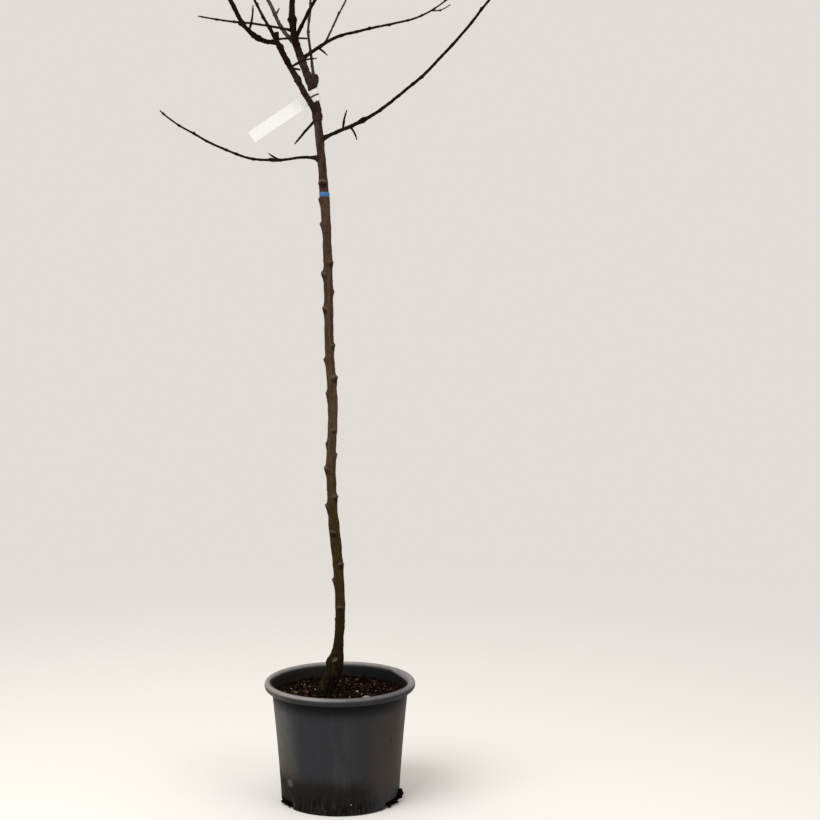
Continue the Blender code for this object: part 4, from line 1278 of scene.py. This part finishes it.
dark_bark = limb_bark("dark_bark", *DARK_BARK)
grey_bark = limb_bark("grey_bark", *GREY_BARK)
barks = dict.fromkeys(GREY_LIMBS, grey_bark)
barks["leader"] = limb_bark("leader_bark", *DARK_BARK, 1.535)
barks["main_left"] = limb_bark("main_left_bark", *DARK_BARK, 1.495, 0.38)
for number, (name, (parent, place, length, bough_end, first_twig, *_)) in enumerate(LIMBS.items()):
    if name == "cut_stub":
        continue
    limb = PLAN[name]
    wall, flare, reach = PLAN[parent].radius(place)[0], FLARES.get(name, USUAL_FLARE), COLLAR_LENGTH
    root = 0.0
    if name == "leader":
        wall, reach, root = 0.0, 2 * COLLAR_LENGTH, LEADER_ROOT
    nodes = nodes_of(limb, NODES.get(name, ()), wall + 0.010, number)
    limb = kinked(limb, nodes, number)
    low, high = nodes[nodes < bough_end - NODE_CLEAR], nodes[nodes > bough_end + NODE_CLEAR]
    bark = barks.get(name, dark_bark)
    if bough_end:
        swellings = [spot[1:] for spot in LIMB_SWELLINGS if spot[0] == name] + swellings_at(low)
        stretch, collar = (root, bough_end + limb.radius(bough_end)[0]), (wall, flare, reach)
        skins = [
            limb_skin(limb, stretch, BOUGH_GAP, STEM_SIDES, swellings, collar, BOUGH_WRINKLE),
            buds_at(limb, low, number),
        ]
        for spur_number, spur in enumerate(spurs_of(name, (0, bough_end))):
            skins += shoot_skins(spur, spur_number + 3)
        for bearer, place, length, lean, away, thick in PEGS:
            if bearer == name:
                peg = walked(limb.at(place)[0], length, (lean,), (away,), thick)
                looks = {"rough": BOUGH_WRINKLE, "blunt": CUT_ROUNDING}
                skins.append(limb_skin(peg, (0, length), PEG_GAP, PEG_SIDES, **looks))
        if name == "leader":
            _, place, length, _, _, _, lean, away, _ = LIMBS["cut_stub"]
            knuckle = walked(limb.at(place)[0], length, lean, away, KNUCKLE_THICKNESS)
            looks = {"rough": KNUCKLE_WRINKLE, "blunt": CUT_ROUNDING}
            skins.append(limb_skin(knuckle, (0, knuckle.length), KNUCKLE_GAP, KNUCKLE_SIDES, **looks))
        bough = surface(f"{name}_limb", skins)
        bough.data.materials.append(bark)
        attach(bough, "root")
        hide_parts(f"{name}_bough")
    stretch, collar = (bough_end, limb.length), None if bough_end else (wall, flare, reach)
    skins = [
        limb_skin(limb, stretch, SHOOT_GAP, SHOOT_SIDES, swellings_at(high), collar, SHOOT_WRINKLE),
        buds_at(limb, high, number + 20, tip=True),
    ]
    side = side_twigs(name)
    stems = [*spurs_of(name, stretch), *side]
    for twig_number, twig in enumerate([PLAN[name], *side]):
        if first_twig is not None:
            start = first_twig if twig_number == 0 else 0.02
            stems += fine_twigs(twig, start, f"{name} {twig_number}")
    for twig_number, twig in enumerate(stems):
        skins += shoot_skins(twig, 100 * number + twig_number)
    twigs = surface(f"{name}_shoots", skins)
    twigs.data.materials.append(bark)
    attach(twigs, "root")
    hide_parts(f"{name}_twigs")


# The label is a blank strap of soft white plastic. Its end is threaded through its own slit, so that it
# loops loosely round the leader, and the rest hangs out to the left behind the lowest fork.
LABEL_WIDTH = 0.025
LABEL_THICKNESS = 0.0006
LABEL_TAIL = 0.152
LABEL_TAIL_DROP = 33.5
LABEL_LOOP_DROP = 24
LABEL_LOOP_RADIUS = 0.0079
LABEL_LOOP_SHIFT = -0.0012
LABEL_LOOP_REACH = 0.0110
LABEL_LOOP_DEPTH = 0.0096
LABEL_HEIGHT = 0.0275
LABEL_LOOP_TURN = 295
LABEL_BOW = 0.0016
LABEL_TAIL_ROWS = 60
LABEL_LOOP_ROWS = 120
LABEL_SLIT = 0.0034
LABEL_SLIT_ROWS = (56, 88)
LABEL_WHITE = (0.70, 0.70, 0.695)
LABEL_DUST = (0.58, 0.57, 0.54)


def label_path():
    """The strap's middle line and the way across it, from the tail's end, round the leader and back.

    The loop is made of two half ellipses, and hangs looser on the right.
    """
    leader = PLAN["leader"]
    centre = leader.at(LABEL_HEIGHT)[0] + np.array((LABEL_LOOP_SHIFT, 0, 0))
    upright = leader.heading(LABEL_HEIGHT)
    tail_slope, loop_slope = math.radians(LABEL_TAIL_DROP), math.radians(LABEL_LOOP_DROP)
    share = np.linspace(0, 1, LABEL_TAIL_ROWS)[:, None]
    out = (1 - share) * LABEL_TAIL
    bow = LABEL_BOW * np.sin(share * np.pi) * (1, 0, 1)
    tail = centre + out * (-math.cos(tail_slope), 0, -math.sin(tail_slope)) + (0, -LABEL_LOOP_DEPTH, 0) + bow
    hang = np.array((-math.sin(tail_slope), 0, math.cos(tail_slope)))
    tail_across = hang * (1 - share**4) + upright * share**4
    angle = np.radians(np.linspace(-90, LABEL_LOOP_TURN - 90, LABEL_LOOP_ROWS)[1:])
    side = np.where(np.cos(angle) > 0, LABEL_LOOP_REACH, LABEL_LOOP_RADIUS) * np.cos(angle)
    back = LABEL_LOOP_DEPTH * np.sin(angle)
    loop = centre + np.column_stack((side, back, side * math.tan(loop_slope)))
    across = np.vstack((tail_across, np.tile(upright, (len(loop), 1))))
    return np.vstack((tail, loop)), unit(across)


def strap_strip(middle, across, low, high, rows=8):
    """A flat strip: the middle line, carried from one share of the width to another."""
    share = np.linspace(low, high, rows)[:, None]
    return middle[:, None] + across[:, None] * share * LABEL_WIDTH


def label_plastic():
    """Soft white plastic: a faint grain, a little dust and a dull sheen."""
    plastic = Finish("label_plastic")
    dust = plastic.noise(120.0, 4.0)
    colour = plastic.mix(dust.between(0.5, 0.75) * 0.3, LABEL_WHITE, LABEL_DUST)
    return plastic.finish(colour, 0.40 + dust * 0.15, plastic.noise(500.0, 2.0), 0.0002, 0.3)


middle, across = label_path()
slit = LABEL_SLIT / LABEL_WIDTH / 2
first, last = LABEL_SLIT_ROWS
strips = [
    strap_strip(middle[: first + 1], across[: first + 1], -0.5, 0.5, 16),
    strap_strip(middle[first : last + 1], across[first : last + 1], -0.5, -slit),
    strap_strip(middle[first : last + 1], across[first : last + 1], slit, 0.5),
    strap_strip(middle[last:], across[last:], -0.5, 0.5, 16),
]
label = surface("strap_label", strips, closed=False)
thick = label.modifiers.new("thickness", "SOLIDIFY")
thick.thickness = LABEL_THICKNESS
thick.offset = 0
settle(label)
label.data.set_sharp_from_angle(angle=SHARP_EDGE)
label.data.materials.append(label_plastic())
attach(label, "root")
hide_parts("label")


# The band is a stripe of blue paint round the trunk, brushed on in the field to tell the sort. It lies thin
# over the bark, whose grain shows through.
BAND_HEIGHT = 0.0102
BAND_THICKNESS = 0.0011
BAND_DISTANCE = 1.052
BAND_SIDES = 96
BAND_ROWS = 14
BAND_ARCH = (0.12, 3.02)
BAND_DEPTH = 0.0012
THIN_PAINT = (0.008, 0.072, 0.205)
THICK_PAINT = (0.016, 0.125, 0.325)


def band_ring(trunk):
    """A shallow ring: out along the bark, proud of it in the middle, and back inside."""
    rise = BAND_DISTANCE + np.linspace(-0.5, 0.5, BAND_ROWS) * BAND_HEIGHT
    turn = circle(BAND_SIDES)
    arch = np.sqrt(np.sin(np.linspace(*BAND_ARCH, BAND_ROWS)))
    proud = trunk_thickness(rise) / 2 + SEAT_GAP + BAND_THICKNESS * arch
    ring = np.stack((np.cos(turn), np.sin(turn), np.zeros(BAND_SIDES)), axis=-1)
    outer = trunk.at(rise)[:, None] + proud[:, None, None] * ring
    inner = trunk.at(rise)[:, None] + (proud[:, None, None] - BAND_DEPTH) * ring
    return np.concatenate((outer, inner[::-1], outer[:1]))


def band_paint():
    """Blue paint, thin in places, with the bark's grain in it."""
    paint = Finish("band_paint")
    grain = paint.noise((300, 300, 120), 4.0, 0.6)
    colour = paint.mix(grain.between(0.35, 0.65), THIN_PAINT, THICK_PAINT)
    return paint.finish(colour, 0.45, grain, 0.0004, 0.6)


band = surface("blue_band", [band_ring(trunk)])
band.data.materials.append(band_paint())
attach(band, "root")
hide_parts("band")


# The tree stands on a plain pale floor in soft studio light: a broad light above to the left, a weaker one
# to the right, and an even surround. The camera looks slightly down on it, from 1.2 m above the floor.
CAMERA_PLACE = (0.148, -3.693, 1.204)
CAMERA_TILT = 5.787
CAMERA_LENS = 78.28
FLOOR_RADIUS = 40.0
FLOOR_WHITE = (0.82, 0.805, 0.775)
SURROUND = (0.752, 0.716, 0.672)


def floor_paint():
    """Matt off-white near the pot, which fades further out to the surround's own glow, so no line shows."""
    paint = Finish("floor_paint")
    x, y, _ = paint.axes()
    out = ((x * x + y * y) ** 0.5).between(0.45, 3.0)
    paint.feed(paint.shader.inputs["Emission Color"], paint.mix(out, (0, 0, 0), SURROUND))
    paint.shader.inputs["Emission Strength"].default_value = 1.0
    return paint.finish(paint.mix(out, FLOOR_WHITE, (0, 0, 0)), 0.9, specular=0.0)


def soft_light(name, place, size, power, aim=(0, 0, 0.7)):
    """A square light that faces a point."""
    lamp = bpy.data.lights.new(name, "AREA")
    lamp.shape = "SQUARE"
    lamp.size = size
    lamp.energy = power
    light = bpy.data.objects.new(name, lamp)
    light.location = place
    light.rotation_euler = (Vector(aim) - Vector(place)).to_track_quat("-Z", "Y").to_euler()
    bpy.context.scene.collection.objects.link(light)


rings = np.array(((0.0, 0.0), (0.4, 0.0), (1.0, 0.0), (3.0, 0.0), (10.0, 0.0), (FLOOR_RADIUS, 0.0)))
floor = surface("floor", [turned(rings, 96)])
floor.data.materials.append(floor_paint())
if floor.data.polygons[0].normal.z < 0:
    floor.data.flip_normals()
soft_light("broad_light", (-1.9, -2.3, 3.8), 3.2, 138.0)
soft_light("fill_light", (2.8, -2.4, 2.8), 2.4, 30.0)

surround = bpy.data.worlds.new("surround")
surround.use_nodes = True
surround.node_tree.nodes["Background"].inputs["Color"].default_value = (*SURROUND, 1)
surround.node_tree.nodes["Background"].inputs["Strength"].default_value = 1.0
bpy.context.scene.world = surround

view = bpy.data.cameras.new("camera")
view.lens = CAMERA_LENS
view.sensor_width = 36.0
camera = bpy.data.objects.new("camera", view)
camera.location = CAMERA_PLACE
camera.rotation_euler = (math.radians(90 - CAMERA_TILT), 0, 0)
bpy.context.scene.collection.objects.link(camera)
bpy.context.scene.camera = camera
bpy.context.scene.view_settings.view_transform = "Standard"
